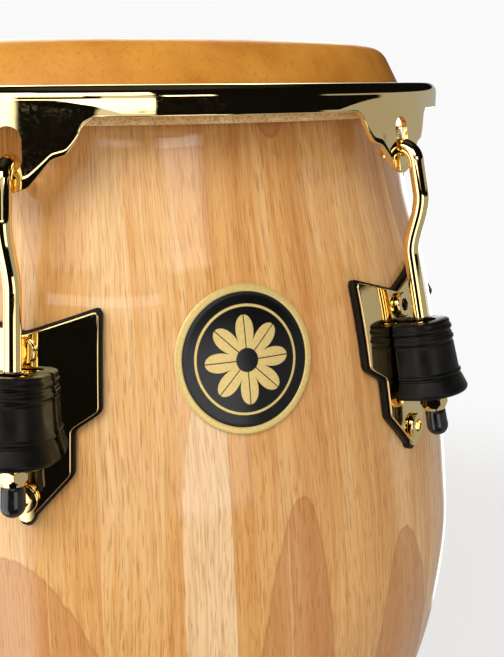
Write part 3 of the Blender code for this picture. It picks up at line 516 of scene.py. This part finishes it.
head_mesh = solid("head_hide", [(spun([*hide_side(0.0), *hide_side(hide_thickness)[::-1]], 240), False, True)])
amber, pelt, cured = finish("amber_hide", Roughness=0.34, Specular_IOR_Level=0.3)
spot = node(pelt, "TexCoord", out=3)
clouds = node(pelt, "TexNoise", {"Vector": spot, "Scale": 22.0, "Detail": 5.0, "Roughness": 0.6})
follicles = node(pelt, "TexNoise", {"Vector": spot, "Scale": 520.0, "Detail": 3.0})
_, _, z = (node(pelt, "SeparateXYZ", {0: spot}, out=i) for i in range(3))
# Painted highlight: near the top of the head the hide's colour runs to pale cream, standing in for the light caught
# along its upper edge.
top_highlight_mask = fade(pelt, z, rim_top + 0.0176, rim_top + 0.0200)
hide_tone = tinted(pelt, fade(pelt, clouds, 0.35, 0.68), linear(206, 143, 56), linear(180, 111, 32))
hide_tone = tinted(pelt, calc(pelt, "MULTIPLY", top_highlight_mask, 0.72), hide_tone, linear(244, 214, 160))
hide_tone = tinted(pelt, calc(pelt, "MULTIPLY", fade(pelt, follicles, 0.52, 0.72), 0.30), hide_tone, linear(160, 90, 22))
pelt.links.new(hide_tone, cured.inputs["Base Color"])
pelt.links.new(fade(pelt, clouds, 0.3, 0.7, 0.28, 0.42), cured.inputs["Roughness"])
creases = node(pelt, "Bump", {"Strength": 0.3, "Distance": 0.0004, "Height": follicles})
creases = node(pelt, "Bump", {"Strength": 0.25, "Distance": 0.002, "Height": clouds, "Normal": creases})
pelt.links.new(creases, cured.inputs["Normal"])
fitted(head_mesh, amber, "drum", "hide", "hide_head")


# The tuck: the hide's raw edge folded round a steel hoop under the rim. Its cut, hairy side
# shows as a lumpy pinkish band.

tuck_in, tuck_out = 0.1651, 0.1736
tuck_high, tuck_low = rim_top - 0.0031, rim_top - 0.0168
corner = np.linspace(0, 2 * math.pi, 44, endpoint=False)
wide = np.sign(np.cos(corner)) * np.abs(np.cos(corner)) ** 0.45
tall = np.sign(np.sin(corner)) * np.abs(np.sin(corner)) ** 0.45
tuck_profile = np.stack([
    (tuck_in + tuck_out) / 2 + wide * (tuck_out - tuck_in) / 2,
    (tuck_high + tuck_low) / 2 + tall * (tuck_high - tuck_low) / 2,
], axis=1)
tuck_grid = spun(tuck_profile, 540)
turn = np.linspace(0, 2 * math.pi, 540, endpoint=False)
chance = np.random.default_rng(7)
lumps = sum(
    chance.uniform(0.3, 1.0) / (k ** 0.4) * np.sin(k * turn[None] + m * corner[:, None] + chance.uniform(0, 6.3))
    for k, m in zip(chance.integers(9, 120, 16), chance.integers(-3, 4, 16))
)
lumps *= 0.00030 / np.abs(lumps).max()
outward = np.where(wide > 0.2, 1.0, 0.0)[:, None] * lumps - 0.0002
tuck_grid[..., 0] += outward * np.cos(turn)
tuck_grid[..., 1] += outward * np.sin(turn)
rawhide, fleece, matted = finish("raw_hide_edge", Roughness=0.75)
spot = node(fleece, "TexCoord", out=3)
specks = node(fleece, "TexNoise", {"Vector": spot, "Scale": 900.0, "Detail": 4.0, "Roughness": 0.7})
blotch = node(fleece, "TexNoise", {"Vector": spot, "Scale": 90.0, "Detail": 4.0})
fleece_tone = tinted(fleece, fade(fleece, blotch, 0.36, 0.66), linear(252, 226, 170), linear(234, 192, 132))
fleece_tone = tinted(fleece, calc(fleece, "MULTIPLY", fade(fleece, specks, 0.50, 0.62), 0.55), fleece_tone, linear(138, 92, 60))
fleece_tone = tinted(fleece, calc(fleece, "MULTIPLY", fade(fleece, specks, 0.44, 0.36), 0.45), fleece_tone, linear(244, 214, 184))
fleece.links.new(fleece_tone, matted.inputs["Base Color"])
fleece.links.new(node(fleece, "Bump", {"Strength": 0.6, "Distance": 0.0005, "Height": specks}), matted.inputs["Normal"])
fitted(solid("hide_tuck", [(tuck_grid, True, True)], 60.0), rawhide, "rim", "raw_hide", "flesh_hoop")


# The rim: a ring of thick steel sheet bent to an angle, with a rolled shoulder and six ears
# folded a little outwards, each slotted for its hook, then polished and plated gold.

rim_radius = 0.1857
sheet_steel = 0.0028
flange_in = 0.1653
rolled = 0.0055
skirt_depth = 0.0130
fold_depth = 0.0065
fold_reach = 0.052
ear_flare = 0.1194
lug_angles = [-60.0 + 60.0 * k for k in range(6)]
ear_line = np.array([
    (0.0000, 0.0432), (0.0078, 0.0405), (0.0132, 0.0345), (0.0178, 0.0293), (0.0238, 0.0274),
    (0.0282, 0.0215), (0.0306, 0.0164), (0.0352, 0.0130),
])


def ear_depth(arc):
    """How far down the sheet reaches this far along from an ear's middle: the outline, softened."""
    fine = np.linspace(-0.11, 0.11, 2201)
    raw = np.interp(np.abs(fine), ear_line[:, 0], ear_line[:, 1])
    window = np.hanning(35)
    return np.interp(arc, fine, np.convolve(raw, window / window.sum(), "same"))


def rim_grid():
    """Each column is the bent sheet's section at one angle; its skirt's length follows the ears."""
    near = np.linspace(-0.040, 0.040, 150)
    far = np.linspace(0.040, 2 * math.pi * rim_radius / 6 - 0.040, 34)[1:-1]
    arc = np.concatenate([near, far])
    whole = np.concatenate([arc / rim_radius + math.radians(60.0 * k) for k in range(6)])
    offset = np.tile(np.where(arc > math.pi * rim_radius / 6, arc - 2 * math.pi * rim_radius / 6, arc), 6)
    depth = ear_depth(offset)
    fold = np.minimum(fold_depth + (skirt_depth - fold_depth) * (offset / fold_reach) ** 2, depth - 0.0012)
    soft = 0.0005
    rows = []
    for a in np.radians(np.linspace(90, 0, 14)):
        out = rim_radius - rolled * (1 - math.cos(a))
        rows.append((out + 0 * depth, -rolled * (1 - math.sin(a)) + 0 * depth))
    ease = np.minimum(np.minimum(0.0016, 0.45 * (depth - fold)), fold - rolled - 0.0003)
    rows.append((rim_radius + 0 * depth, -rolled - 0.00025 + 0 * depth))
    for t in np.linspace(-1, 1, 7):
        rows.append((rim_radius + ear_flare * ease * ((t + 1) ** 2) / 4, -fold - t * ease))
    for t in np.linspace(0.15, 0.85, 7):
        down = fold + ease + (depth - soft - fold - ease) * t
        rows.append((rim_radius + ear_flare * np.maximum(down - fold, 0), -np.maximum(down, fold + ease * t)))
    tip = rim_radius + ear_flare * (depth - fold)
    for a in np.radians(np.linspace(0, 90, 6)):
        rows.append((tip - soft * (1 - math.cos(a)), -depth + soft * (1 - math.sin(a))))
    for a in np.radians(np.linspace(90, 0, 6)):
        rows.append((tip - sheet_steel + soft * (1 - math.cos(a)), -depth + soft * (1 - math.sin(a))))
    for t in np.linspace(0.85, 0.0, 6):
        down = fold + (depth - soft - fold) * t
        rows.append((rim_radius - sheet_steel + ear_flare * (down - fold), -down))
    under = rolled - sheet_steel
    for a in np.radians(np.linspace(0, 90, 7)):
        out = rim_radius - sheet_steel - under * (1 - math.cos(a))
        rows.append((out + 0 * depth, -sheet_steel - under * (1 - math.sin(a)) + 0 * depth))
    for a in np.radians(np.linspace(-90, -270, 9)):
        rows.append((
            flange_in + sheet_steel / 2 + sheet_steel / 2 * math.cos(a) + 0 * depth,
            -sheet_steel / 2 + sheet_steel / 2 * math.sin(a) + 0 * depth,
        ))
    radius = np.array([r for r, _ in rows])
    height = rim_top + np.array([h for _, h in rows])
    return np.stack([radius * np.cos(whole), radius * np.sin(whole), height], axis=2)


def carved(mesh, cutter_mesh):
    """The mesh with another closed mesh cut out of it."""
    piece = bpy.data.objects.new("uncut", mesh)
    tool = bpy.data.objects.new("cutter", cutter_mesh)
    for item in (piece, tool):
        scene.collection.objects.link(item)
    cut = piece.modifiers.new("cut", "BOOLEAN")
    cut.operation = "DIFFERENCE"
    cut.object = tool
    bpy.context.view_layer.update()
    graph = bpy.context.evaluated_depsgraph_get()
    made = bpy.data.meshes.new_from_object(piece.evaluated_get(graph))
    made.name = mesh.name.replace("uncut_", "")
    for item in (piece, tool):
        bpy.data.objects.remove(item)
    made.shade_smooth()
    made.set_sharp_from_angle(angle=math.radians(35.0))
    return made


def slot_block(angle):
    """A round-ended bar through an ear: the slot's outline carried outwards."""
    half, high, low = 0.006, -0.0158, -0.03485
    bend = np.linspace(0, math.pi, 13)
    across = np.concatenate([half * np.cos(bend), -half * np.cos(bend)])
    level = np.concatenate([high - half + half * np.sin(bend), low + half - half * np.sin(bend)])
    reach = np.array([0.0, 0.178, 0.196, 0.0])
    size = np.array([0.0, 1.0, 1.0, 0.0])
    reach[0], reach[3] = 0.178, 0.196
    out = reach[:, None] + 0 * across
    side = across * size[:, None]
    level = (high + low) / 2 + (level - (high + low) / 2) * size[:, None]
    turn = math.radians(angle)
    return np.stack([
        out * math.cos(turn) - side * math.sin(turn), out * math.sin(turn) + side * math.cos(turn), rim_top + level,
    ], axis=2)


gilded, plating, polish = finish("gold_plating", Metallic=1.0, Roughness=0.05)
spot = node(plating, "TexCoord", out=3)
haze = node(plating, "TexNoise", {"Vector": spot, "Scale": 34.0, "Detail": 3.0})
scuffs = node(plating, "TexNoise", {"Vector": spot, "Scale": 700.0, "Detail": 3.0})
plating.links.new(
    tinted(plating, fade(plating, haze, 0.35, 0.65), (0.97, 0.76, 0.37, 1.0), (0.94, 0.71, 0.32, 1.0)),
    polish.inputs["Base Color"],
)
plating.links.new(fade(plating, scuffs, 0.35, 0.75, 0.025, 0.075), polish.inputs["Roughness"])
plating.links.new(node(plating, "Bump", {"Strength": 0.05, "Distance": 0.002, "Height": haze}), polish.inputs["Normal"])
rim_mesh = carved(
    solid("uncut_gilded_rim", [(rim_grid(), True, True)]),
    solid("slots", [(slot_block(angle), False, True) for angle in lug_angles]),
)
fitted(rim_mesh, gilded, "rim", "gold_plate", "rim")


# The badge: a thin round plate curved to the shell and glued on, with a raised gold edge and a
# plain eight-petalled rosette on satin black enamel.

badge_radius = 0.0335
badge_depth = 0.1203
rows = [
    (0.0, 0.0010), (0.006, 0.0010), (0.014, 0.0010), (0.022, 0.0010), (0.028, 0.0010), (0.0300, 0.0010),
    (0.0302, 0.0011), (0.0305, 0.0014), (0.0309, 0.0015), (0.0327, 0.0015), (0.0332, 0.0014),
    (0.0335, 0.0011), (0.0335, 0.0004), (0.0333, 0.0003), (0.020, 0.0003), (0.0, 0.0003),
]
reach, lift = (np.array(part)[:, None] for part in zip(*rows))
turn = np.linspace(0, 2 * math.pi, 144, endpoint=False)
side, deep = reach * np.sin(turn), badge_depth - reach * np.cos(turn)
radius, level = off_shell(deep, lift)
around = side / shell_radius(deep) - math.pi / 2
badge_grid = np.stack([radius * np.cos(around), radius * np.sin(around), level], axis=2)
enamel, badge_nodes, badge_skin = finish("badge_enamel", Roughness=0.3, Specular_IOR_Level=0.35)
spot = node(badge_nodes, "TexCoord", out=3)
x, y, z = (node(badge_nodes, "SeparateXYZ", {0: spot}, out=i) for i in range(3))
east = calc(badge_nodes, "DIVIDE", x, badge_radius)
north = calc(badge_nodes, "DIVIDE", calc(badge_nodes, "SUBTRACT", z, rim_top - badge_depth + 0.0002), badge_radius)
far = calc(badge_nodes, "SQRT", calc(badge_nodes, "ADD", calc(badge_nodes, "MULTIPLY", east, east), calc(badge_nodes, "MULTIPLY", north, north)))
bearing = calc(badge_nodes, "ARCTAN2", east, north)
petal = calc(badge_nodes, "ABSOLUTE", calc(badge_nodes, "COSINE", calc(badge_nodes, "MULTIPLY", bearing, 4.0)))
petal = calc(badge_nodes, "ADD", calc(badge_nodes, "MULTIPLY", calc(badge_nodes, "POWER", petal, 0.6), 0.36), 0.24)
inside_petal = fade(badge_nodes, calc(badge_nodes, "SUBTRACT", petal, far), -0.006, 0.006)
vein = calc(badge_nodes, "ABSOLUTE", calc(badge_nodes, "SINE", calc(badge_nodes, "MULTIPLY", bearing, 4.0)))
vein = fade(badge_nodes, calc(badge_nodes, "MULTIPLY", vein, far), 0.020, 0.034)
eye_hole = fade(badge_nodes, far, 0.155, 0.167)
thin_ring = calc(badge_nodes, "MULTIPLY", fade(badge_nodes, far, 0.700, 0.710), fade(badge_nodes, far, 0.745, 0.735))
motif = calc(badge_nodes, "MULTIPLY", calc(badge_nodes, "MULTIPLY", inside_petal, vein), eye_hole)
motif = calc(badge_nodes, "MAXIMUM", motif, thin_ring)
gold_edge = fade(badge_nodes, far, 0.898, 0.908)
gold_part = calc(badge_nodes, "MAXIMUM", motif, gold_edge)
brushing = node(badge_nodes, "TexNoise", {"Vector": spot, "Scale": 900.0, "Detail": 2.0})
black_enamel = tinted(badge_nodes, fade(badge_nodes, brushing, 0.4, 0.7), (0.003, 0.003, 0.003, 1.0), (0.006, 0.006, 0.006, 1.0))
cream_gold = tinted(badge_nodes, fade(badge_nodes, brushing, 0.35, 0.7), linear(232, 206, 136), linear(224, 195, 124))
badge_nodes.links.new(tinted(badge_nodes, gold_part, black_enamel, cream_gold), badge_skin.inputs["Base Color"])
badge_nodes.links.new(calc(badge_nodes, "MULTIPLY", gold_part, 0.35), badge_skin.inputs["Metallic"])
badge_nodes.links.new(fade(badge_nodes, gold_part, 0.0, 1.0, 0.20, 0.42), badge_skin.inputs["Roughness"])
badge_nodes.links.new(
    node(badge_nodes, "Bump", {"Strength": 0.4, "Distance": 0.0002, "Height": motif}), badge_skin.inputs["Normal"]
)
fitted(solid("round_badge", [(badge_grid, False, True)]), enamel, "drum", "badge_black", "badge")


# The side plates and gaskets: six shield-shaped plates of polished gold-plated steel, each on a
# thick black rubber gasket of the same shape, curved to the shell. A receiver tube for the
# hook is welded to each plate on a short web.

plate_corners = ((0.0000, 0.1046), (0.0318, 0.0944), (0.0321, 0.1365), (0.0203, 0.1441), (0.0199, 0.1640), (0.0000, 0.1859))
rod_tilt = math.radians(12.2)
rod_anchor = (0.2028, rim_top - 0.1165)


def grown(corners, margin):
    """The shield's corners with every side moved outwards by the margin, and meeting in points."""
    line = np.array([*corners, *[(-x, d) for x, d in corners[-2:0:-1]]])
    before = line - np.roll(line, 1, axis=0)
    after = np.roll(line, -1, axis=0) - line
    normals = [np.stack([v[:, 1], -v[:, 0]], 1) / np.linalg.norm(v, axis=1)[:, None] for v in (before, after)]
    middle = normals[0] + normals[1]
    middle /= (middle * normals[0]).sum(1)[:, None]
    return (line + middle * margin)[: len(corners)]


def shield_sheet(name, margin, inner, thickness, bevel, corner, turn):
    """A curved shield. Across it runs from -1 to 1 times its half width; down it, from its notched
    top edge to its tip. Its edge is carried round in steps from the front face to the back."""
    points = grown(plate_corners, margin)
    notch, top, tip = points[0, 1], points[1], points[-1, 1]
    fine = np.linspace(top[1] - 0.004, tip, 1200)
    widths = np.interp(fine, points[1:, 1], points[1:, 0])
    window = np.hanning(int(2 * corner / (fine[1] - fine[0])) | 1)
    padded = np.pad(widths, len(window) // 2, mode="edge")
    widths = np.convolve(padded, window / window.sum(), "valid")
    closing = np.clip((tip - fine) / 0.004, 0, 1)
    widths = np.where(closing < 1, np.interp(tip - 0.004, fine, widths) * np.sqrt(closing * (2 - closing)) ** 1.15, widths)
    s = np.linspace(-1, 1, 57)[None]
    t = np.linspace(0, 1, 110)[:, None]
    reach = corner / top[0]
    q = np.clip((np.abs(s) - (1 - reach)) / reach, 0, 1)
    edge = notch + (top[1] - notch) * np.sqrt(s * s + 0.0009) + corner * (1 - np.sqrt(1 - q * q))
    deep = edge + (tip - edge) * t
    wide = s * np.interp(deep, fine, widths)
    border = [(0, k) for k in range(57)] + [(k, 56) for k in range(1, 109)] + [(109, 28)] + [(k, 0) for k in range(108, 0, -1)]
    border = np.array(border)
    loop = np.stack([wide[border[:, 0], border[:, 1]], deep[border[:, 0], border[:, 1]]], 1)
    run = np.roll(loop, -1, axis=0) - np.roll(loop, 1, axis=0)
    normal = np.stack([run[:, 1], -run[:, 0]], 1) / np.linalg.norm(run, axis=1)[:, None]
    steps = [(-bevel * (1 - math.sin(a)), -bevel * (1 - math.cos(a))) for a in np.radians(np.linspace(0, 90, 5))]

    def bent(x, d, off):
        radius, level = off_shell(d, inner + off)
        around = x / shell_radius(d) + turn
        return np.stack([radius * np.cos(around), radius * np.sin(around), level], axis=-1)

    side = [(inset, thickness + drop) for inset, drop in steps] + [(inset, -drop) for inset, drop in steps[::-1]]
    loops = [loop + normal * inset for inset, _ in side]
    belt = np.array([bent(line[:, 0], line[:, 1], off) for line, (_, off) in zip(loops, side)])
    skins = [(belt, False, True)]
    for line, off in ((loops[0], thickness), (loops[-1], 0.0)):
        x, d = wide.copy(), deep.copy()
        x[border[:, 0], border[:, 1]] = line[:, 0]
        d[border[:, 0], border[:, 1]] = line[:, 1]
        x[-1], d[-1] = line[57 + 108]
        skins.append((bent(x, d, off), False, False))
    return skins


def on_lug(turn, out=0.0, level=0.0, tilt=0.0):
    """Places x outwards, y across and z up at a lug: turned about y by the tilt, then round the drum."""
    place = Matrix.Rotation(turn, 4, "Z") @ Matrix.Translation((out, 0.0, level)) @ Matrix.Rotation(tilt, 4, "Y")
    return np.array(place)


def carried(place, grid):
    return grid @ place[:3, :3].T + place[:3, 3]


def bar(low, high, soft=0.0004):
    """A block with softened edges: rounded oblong rings stacked from its foot to its top."""
    low, high = np.array(low), np.array(high)
    middle, half = (low + high) / 2, (high - low) / 2
    turn = np.linspace(0, 2 * math.pi, 32, endpoint=False) + math.pi / 32
    power = [np.sign(f(turn)) * np.abs(f(turn)) ** 0.12 for f in (np.cos, np.sin)]
    rings = []
    for size, level in ((0.0, -1.0), (1.0, -1.0), (1.0, 1.0), (0.0, 1.0)):
        rings.append(np.stack([
            middle[0] + half[0] * size * power[0], middle[1] + half[1] * size * power[1],
            middle[2] + half[2] * level + 0 * turn,
        ], axis=1))
    return np.array(rings)


receiver = [
    (0.0045, -0.0014), (0.0049, -0.0010), (0.0060, -0.0010), (0.0065, -0.0015), (0.0065, -0.0100),
    (0.0065, -0.0200), (0.0065, -0.0300), (0.0065, -0.0393), (0.0060, -0.0398), (0.0049, -0.0398),
    (0.0045, -0.0394), (0.0045, -0.0200),
]
padding, rubber, skin = finish("gasket_rubber", Roughness=0.42, Specular_IOR_Level=0.22)
spot = node(rubber, "TexCoord", out=3)
bloom = node(rubber, "TexNoise", {"Vector": spot, "Scale": 130.0, "Detail": 4.0})
rubber.links.new(
    tinted(rubber, fade(rubber, bloom, 0.4, 0.7), (0.0035, 0.0024, 0.0016, 1.0), (0.0070, 0.0050, 0.0034, 1.0)),
    skin.inputs["Base Color"],
)
rubber.links.new(fade(rubber, bloom, 0.3, 0.7, 0.38, 0.50), skin.inputs["Roughness"])
rubber.links.new(node(rubber, "Bump", {"Strength": 0.15, "Distance": 0.0004, "Height": bloom}), skin.inputs["Normal"])
for number, angle in enumerate(lug_angles, 1):
    turn = math.radians(angle)
    gasket = shield_sheet(f"shield_gasket_{number}", 0.0015, 0.0003, 0.0036, 0.0007, 0.0032, turn)
    fitted(solid(f"shield_gasket_{number}", gasket), padding, "drum", "black_rubber", f"gasket_{number}")
    plate = shield_sheet(f"shield_plate_{number}", 0.0, 0.0042, 0.0015, 0.0005, 0.0024, turn)
    rod = on_lug(turn, *rod_anchor, -rod_tilt)
    plate.append((carried(rod, spun(receiver, 40)), True, True))
    plate.append((carried(rod, bar((-0.0123, -0.0035, -0.0378), (-0.0052, 0.0035, -0.0030))), False, True))
    fitted(solid(f"shield_plate_{number}", plate), gilded, "drum", "gold_plate", f"side_plate_{number}")


# The screws: flat gold-plated heads with a socket, two on each plate, that run through gasket and
# shell into a zinc-plated backing strip on the inside.

across = np.linspace(0, 2 * math.pi, 48, endpoint=False)
hexagon = 1.0 / np.cos((across + math.pi / 6) % (math.pi / 3) - math.pi / 6)


def ringed(rows, place):
    """Rings of (radius, height), where a radius may differ round the ring, put in place."""
    grid = np.stack([
        np.stack([radius * np.cos(across), radius * np.sin(across), height + 0 * across], axis=1)
        for radius, height in rows
    ])
    return carried(place, grid)


def screw_rows(seat):
    """Socket floor and wall, the flat face, its rounded edge and seat, then the shank to its tail."""
    socket = 0.0029 * hexagon
    crest = seat + 0.0024
    edge = [(0.0056 + 0.0009 * math.sin(a), crest - 0.0009 * (1 - math.cos(a))) for a in np.radians(np.linspace(0, 90, 10))]
    return [
        (0.0, crest - 0.0019), (socket, crest - 0.0019), (socket, crest - 0.0002), (socket * 1.07, crest), *edge,
        (0.0065, seat + 0.0002), (0.0062, seat), (0.0030, seat), (0.0030, -0.0168), (0.0026, -0.0172), (0.0, -0.0172),
    ]


for number, angle in enumerate(lug_angles, 1):
    for name, deep in (("upper", 0.1113), ("lower", 0.1744)):
        slope = float(shell_radius(deep + 0.001) - shell_radius(deep - 0.001)) / 0.002
        place = on_lug(math.radians(angle), float(shell_radius(deep)), rim_top - deep, math.pi / 2 - math.atan(slope))
        screw = solid(f"{name}_screw_{number}", [(ringed(screw_rows(0.0060), place), False, True)])
        fitted(screw, gilded, "drum", "gold_plate", f"{name}_bolt_{number}")

zinced, strip_nodes, strip_skin = finish("zinc_plating", Metallic=1.0, Roughness=0.4)
spot = node(strip_nodes, "TexCoord", out=3)
spangle = node(strip_nodes, "TexVoronoi", {"Vector": spot, "Scale": 260.0})
strip_nodes.links.new(
    tinted(strip_nodes, spangle, (0.52, 0.53, 0.55, 1.0), (0.68, 0.68, 0.66, 1.0)), strip_skin.inputs["Base Color"]
)
strip_nodes.links.new(fade(strip_nodes, spangle, 0.0, 0.8, 0.28, 0.48), strip_skin.inputs["Roughness"])
for number in range(1, 7):
    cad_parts[f"backing_strip_{number}"].material_slots[0].material = zinced


# The guards: black rubber blocks round each receiver that keep the player's hands off the
# nut, half round in front with straight sides, moulded with two ribs near the top and one above
# the flared foot, and slotted at the back over the receiver's web.

guard_height = 0.0378
guard_back = 0.01047


def guard_radius(drop):
    """The half-round front's radius: a slight taper, a flare at the foot, and three moulded ribs."""
    flare = 0.0029 * np.clip((drop - 0.0276) / 0.0078, 0, 1) ** 0.85
    ribs = sum(size * np.exp(-(((drop - at) / wide) ** 4)) for at, wide, size in (
        (0.0040, 0.0010, 0.0006), (0.0060, 0.0006, -0.0004), (0.0091, 0.0010, 0.0006),
        (0.0113, 0.0006, -0.0004), (0.0268, 0.0009, 0.0008), (0.0283, 0.0005, -0.0003),
    ))
    top = 0.0010 * np.clip(1 - drop / 0.0010, 0, 1) ** 2
    under = np.clip((drop - guard_height + 0.0022) / 0.0022, 0, 1)
    rounding = 0.0019 * (1 - np.sqrt(1 - under * under))
    return 0.0136 + 0.0015 * np.clip(drop / 0.0268, 0, 1) + flare + ribs - top - rounding


def guard_grid():
    """Each row is the block's outline at one drop, as a reach from the rod at every bearing: the
    radius in front, and behind it the nearer of the straight side and the back, blended. Then
    come the rows of the round bore."""
    turn = np.linspace(0, 2 * math.pi, 144, endpoint=False)
    drops = np.linspace(0, guard_height, 170)
    radius = guard_radius(drops)[:, None]
    side = radius / np.maximum(np.abs(np.sin(turn)), 1e-4)
    rear = guard_back / np.maximum(-np.cos(turn), 1e-4)
    reach = np.where(np.cos(turn) > 0, radius, (side ** -16.0 + rear ** -16.0) ** (-1 / 16))
    outer = np.stack([reach * np.cos(turn), reach * np.sin(turn), -drops[:, None] + 0 * turn], axis=2)
    bore = [(0.0073, -guard_height), (0.0069, -guard_height + 0.0004), (0.0069, -0.0200), (0.0069, -0.0004), (0.0073, 0.0)]
    return np.concatenate([outer, spun(bore, 144)])


guard_rubber, rubber, skin = finish("guard_rubber", Roughness=0.36, Specular_IOR_Level=0.16)
spot = node(rubber, "TexCoord", out=3)
cloud = node(rubber, "TexNoise", {"Vector": spot, "Scale": 90.0, "Detail": 3.0})
rubber.links.new(
    tinted(rubber, fade(rubber, cloud, 0.4, 0.7), (0.0036, 0.0032, 0.0025, 1.0), (0.0068, 0.0062, 0.0052, 1.0)),
    skin.inputs["Base Color"],
)
rubber.links.new(fade(rubber, cloud, 0.3, 0.7, 0.30, 0.42), skin.inputs["Roughness"])
fine_grain = node(rubber, "TexNoise", {"Vector": spot, "Scale": 2400.0, "Detail": 2.0})
rubber.links.new(node(rubber, "Bump", {"Strength": 0.2, "Distance": 0.0001, "Height": fine_grain}), skin.inputs["Normal"])
guard_shape = guard_grid()
slot = bar((-0.041, -0.0039, -0.061), (-0.003, 0.0039, 0.021))
for number, angle in enumerate(lug_angles, 1):
    rod = on_lug(math.radians(angle), *rod_anchor, -rod_tilt)
    sleeve = solid(f"uncut_hand_guard_{number}", [(carried(rod, guard_shape), True, True)])
    sleeve = carved(sleeve, solid("block", [(carried(rod, slot), False, True)]))
    fitted(sleeve, guard_rubber, "drum", "black_rubber", f"guard_{number}")


# The hooks: bright gold-plated steel rods, bent over at the top to hang in the ear's slot,
# cranked inwards below it, and threaded at the lower end where they run through the receiver.

rod_radius = 0.0038
thread_pitch = 0.00125


def hook_path():
    """(out, up) points down the rod: the arch over the slot, the outer leg, the crank, the straight."""
    arch = [
        (0.0017 + 0.0084 * math.cos(a), 0.0794 + 0.0084 * math.sin(a)) for a in np.radians(np.linspace(150, 0, 40))
    ]
    leg = [(0.0101, u) for u in np.linspace(0.0794, 0.064, 8)[1:-1]]
    t = np.linspace(0, 1, 40)
    ease = t * t * (3 - 2 * t)
    crank = list(zip(0.0101 * (1 - ease), 0.064 - 0.030 * t))
    straight = [(0.0, u) for u in np.linspace(0.034, 0.0, 14)[1:]]
    threaded = [(0.0, -u) for u in np.arange(thread_pitch / 8, 0.053, thread_pitch / 8)]
    return np.array([*arch, *leg, *crank, *straight, *threaded])


def hook_grid():
    """Circles square to the path; in the threaded part the radius falls in a helix of V grooves."""
    path = hook_path()
    run = np.gradient(path, axis=0)
    run /= np.linalg.norm(run, axis=1)[:, None]
    turn = np.linspace(0, 2 * math.pi, 28, endpoint=False)[None]
    down = np.maximum(-path[:, 1:], 0.0)
    phase = (down / thread_pitch + turn / (2 * math.pi)) % 1.0
    cut = 0.0006 * np.abs(2 * phase - 1) * np.clip(down / 0.002, 0, 1)
    ends = np.minimum(np.arange(len(path)), np.arange(len(path))[::-1])[:, None]
    radius = (rod_radius - cut) * np.where(ends < 1, 0.82, 1.0)
    out = path[:, :1] - radius * np.cos(turn) * run[:, 1:]
    up = path[:, 1:] + radius * np.cos(turn) * run[:, :1]
    grid = np.stack([out, radius * np.sin(turn), up], axis=2)
    caps = [np.repeat(ring.mean(0)[None], ring.shape[0], 0)[None] for ring in (grid[0], grid[-1])]
    return np.concatenate([caps[0], grid, caps[1]])


hook_shape = hook_grid()
for number, angle in enumerate(lug_angles, 1):
    rod = on_lug(math.radians(angle), *rod_anchor, -rod_tilt)
    hook = solid(f"cranked_hook_{number}", [(carried(rod, hook_shape), False, True)])
    fitted(hook, gilded, f"hook_{number}", "gold_plate", f"hook_{number}")


# The nuts and caps: a gold-plated hexagon nut under each receiver, turned to a taper at its
# lower end, and a glossy black cap pushed over the rod's end below it.

nut_top, nut_tall, flat = -0.0401, 0.0065, 0.0060
nut_turn = Matrix.Rotation(math.radians(-6.0), 4, "Z")


def nut_rows():
    """Bore, countersink, faces and flats; towards the lower face the flats are cut back to a cone."""
    body = [(np.minimum(flat * hexagon, flat - 0.0001 + dip * 1.4), nut_top - dip) for dip in (0.0, 0.0002, 0.0005, 0.0009)]
    body += [
        (np.minimum(flat * hexagon, 0.0053 + 0.509 * rise), nut_top - nut_tall + rise)
        for rise in (*np.linspace(0.0034, 0.0002, 14), 0.0)
    ]
    return [
        (0.0042, nut_top - 0.004), (0.0042, nut_top - 0.0005), (0.0047, nut_top), *body,
        (0.0047, nut_top - nut_tall), (0.0042, nut_top - nut_tall + 0.0005), (0.0042, nut_top - 0.004),
    ]


cap_top = -0.0469
cap_profile = [(0.0043, cap_top - 0.0002), (0.0045, cap_top), (0.0050, cap_top), (0.0052, cap_top - 0.0003),
               (0.0053, cap_top - 0.0030), (0.0054, cap_top - 0.0060)]
cap_profile += [
    (0.0055 * math.cos(a), cap_top - 0.0082 - 0.0055 * math.sin(a)) for a in np.radians(np.linspace(0, 90, 14))
]
cap_profile += [(0.0, cap_top - 0.0119), (0.0030, cap_top - 0.0117), (0.0043, cap_top - 0.0105)]
vinyl, cap_nodes, cap_skin = finish("dipped_vinyl", Roughness=0.14, Specular_IOR_Level=0.5)
spot = node(cap_nodes, "TexCoord", out=3)
smear = node(cap_nodes, "TexNoise", {"Vector": spot, "Scale": 300.0, "Detail": 3.0})
cap_nodes.links.new(
    tinted(cap_nodes, fade(cap_nodes, smear, 0.4, 0.7), (0.006, 0.006, 0.007, 1.0), (0.014, 0.013, 0.013, 1.0)),
    cap_skin.inputs["Base Color"],
)
cap_nodes.links.new(fade(cap_nodes, smear, 0.3, 0.7, 0.10, 0.20), cap_skin.inputs["Roughness"])
for number, angle in enumerate(lug_angles, 1):
    rod = on_lug(math.radians(angle), *rod_anchor, -rod_tilt)
    nut = solid(f"hexagon_nut_{number}", [(ringed(nut_rows(), rod @ np.array(nut_turn)), False, True)], 20.0)
    fitted(nut, gilded, f"tuning_nut_{number}", "gold_plate", f"tuning_nut_{number}")
    cap = solid(f"rod_cap_{number}", [(carried(rod, spun(cap_profile, 40)), True, True)])
    fitted(cap, vinyl, f"tuning_nut_{number}", "black_rubber", f"thread_cap_{number}")
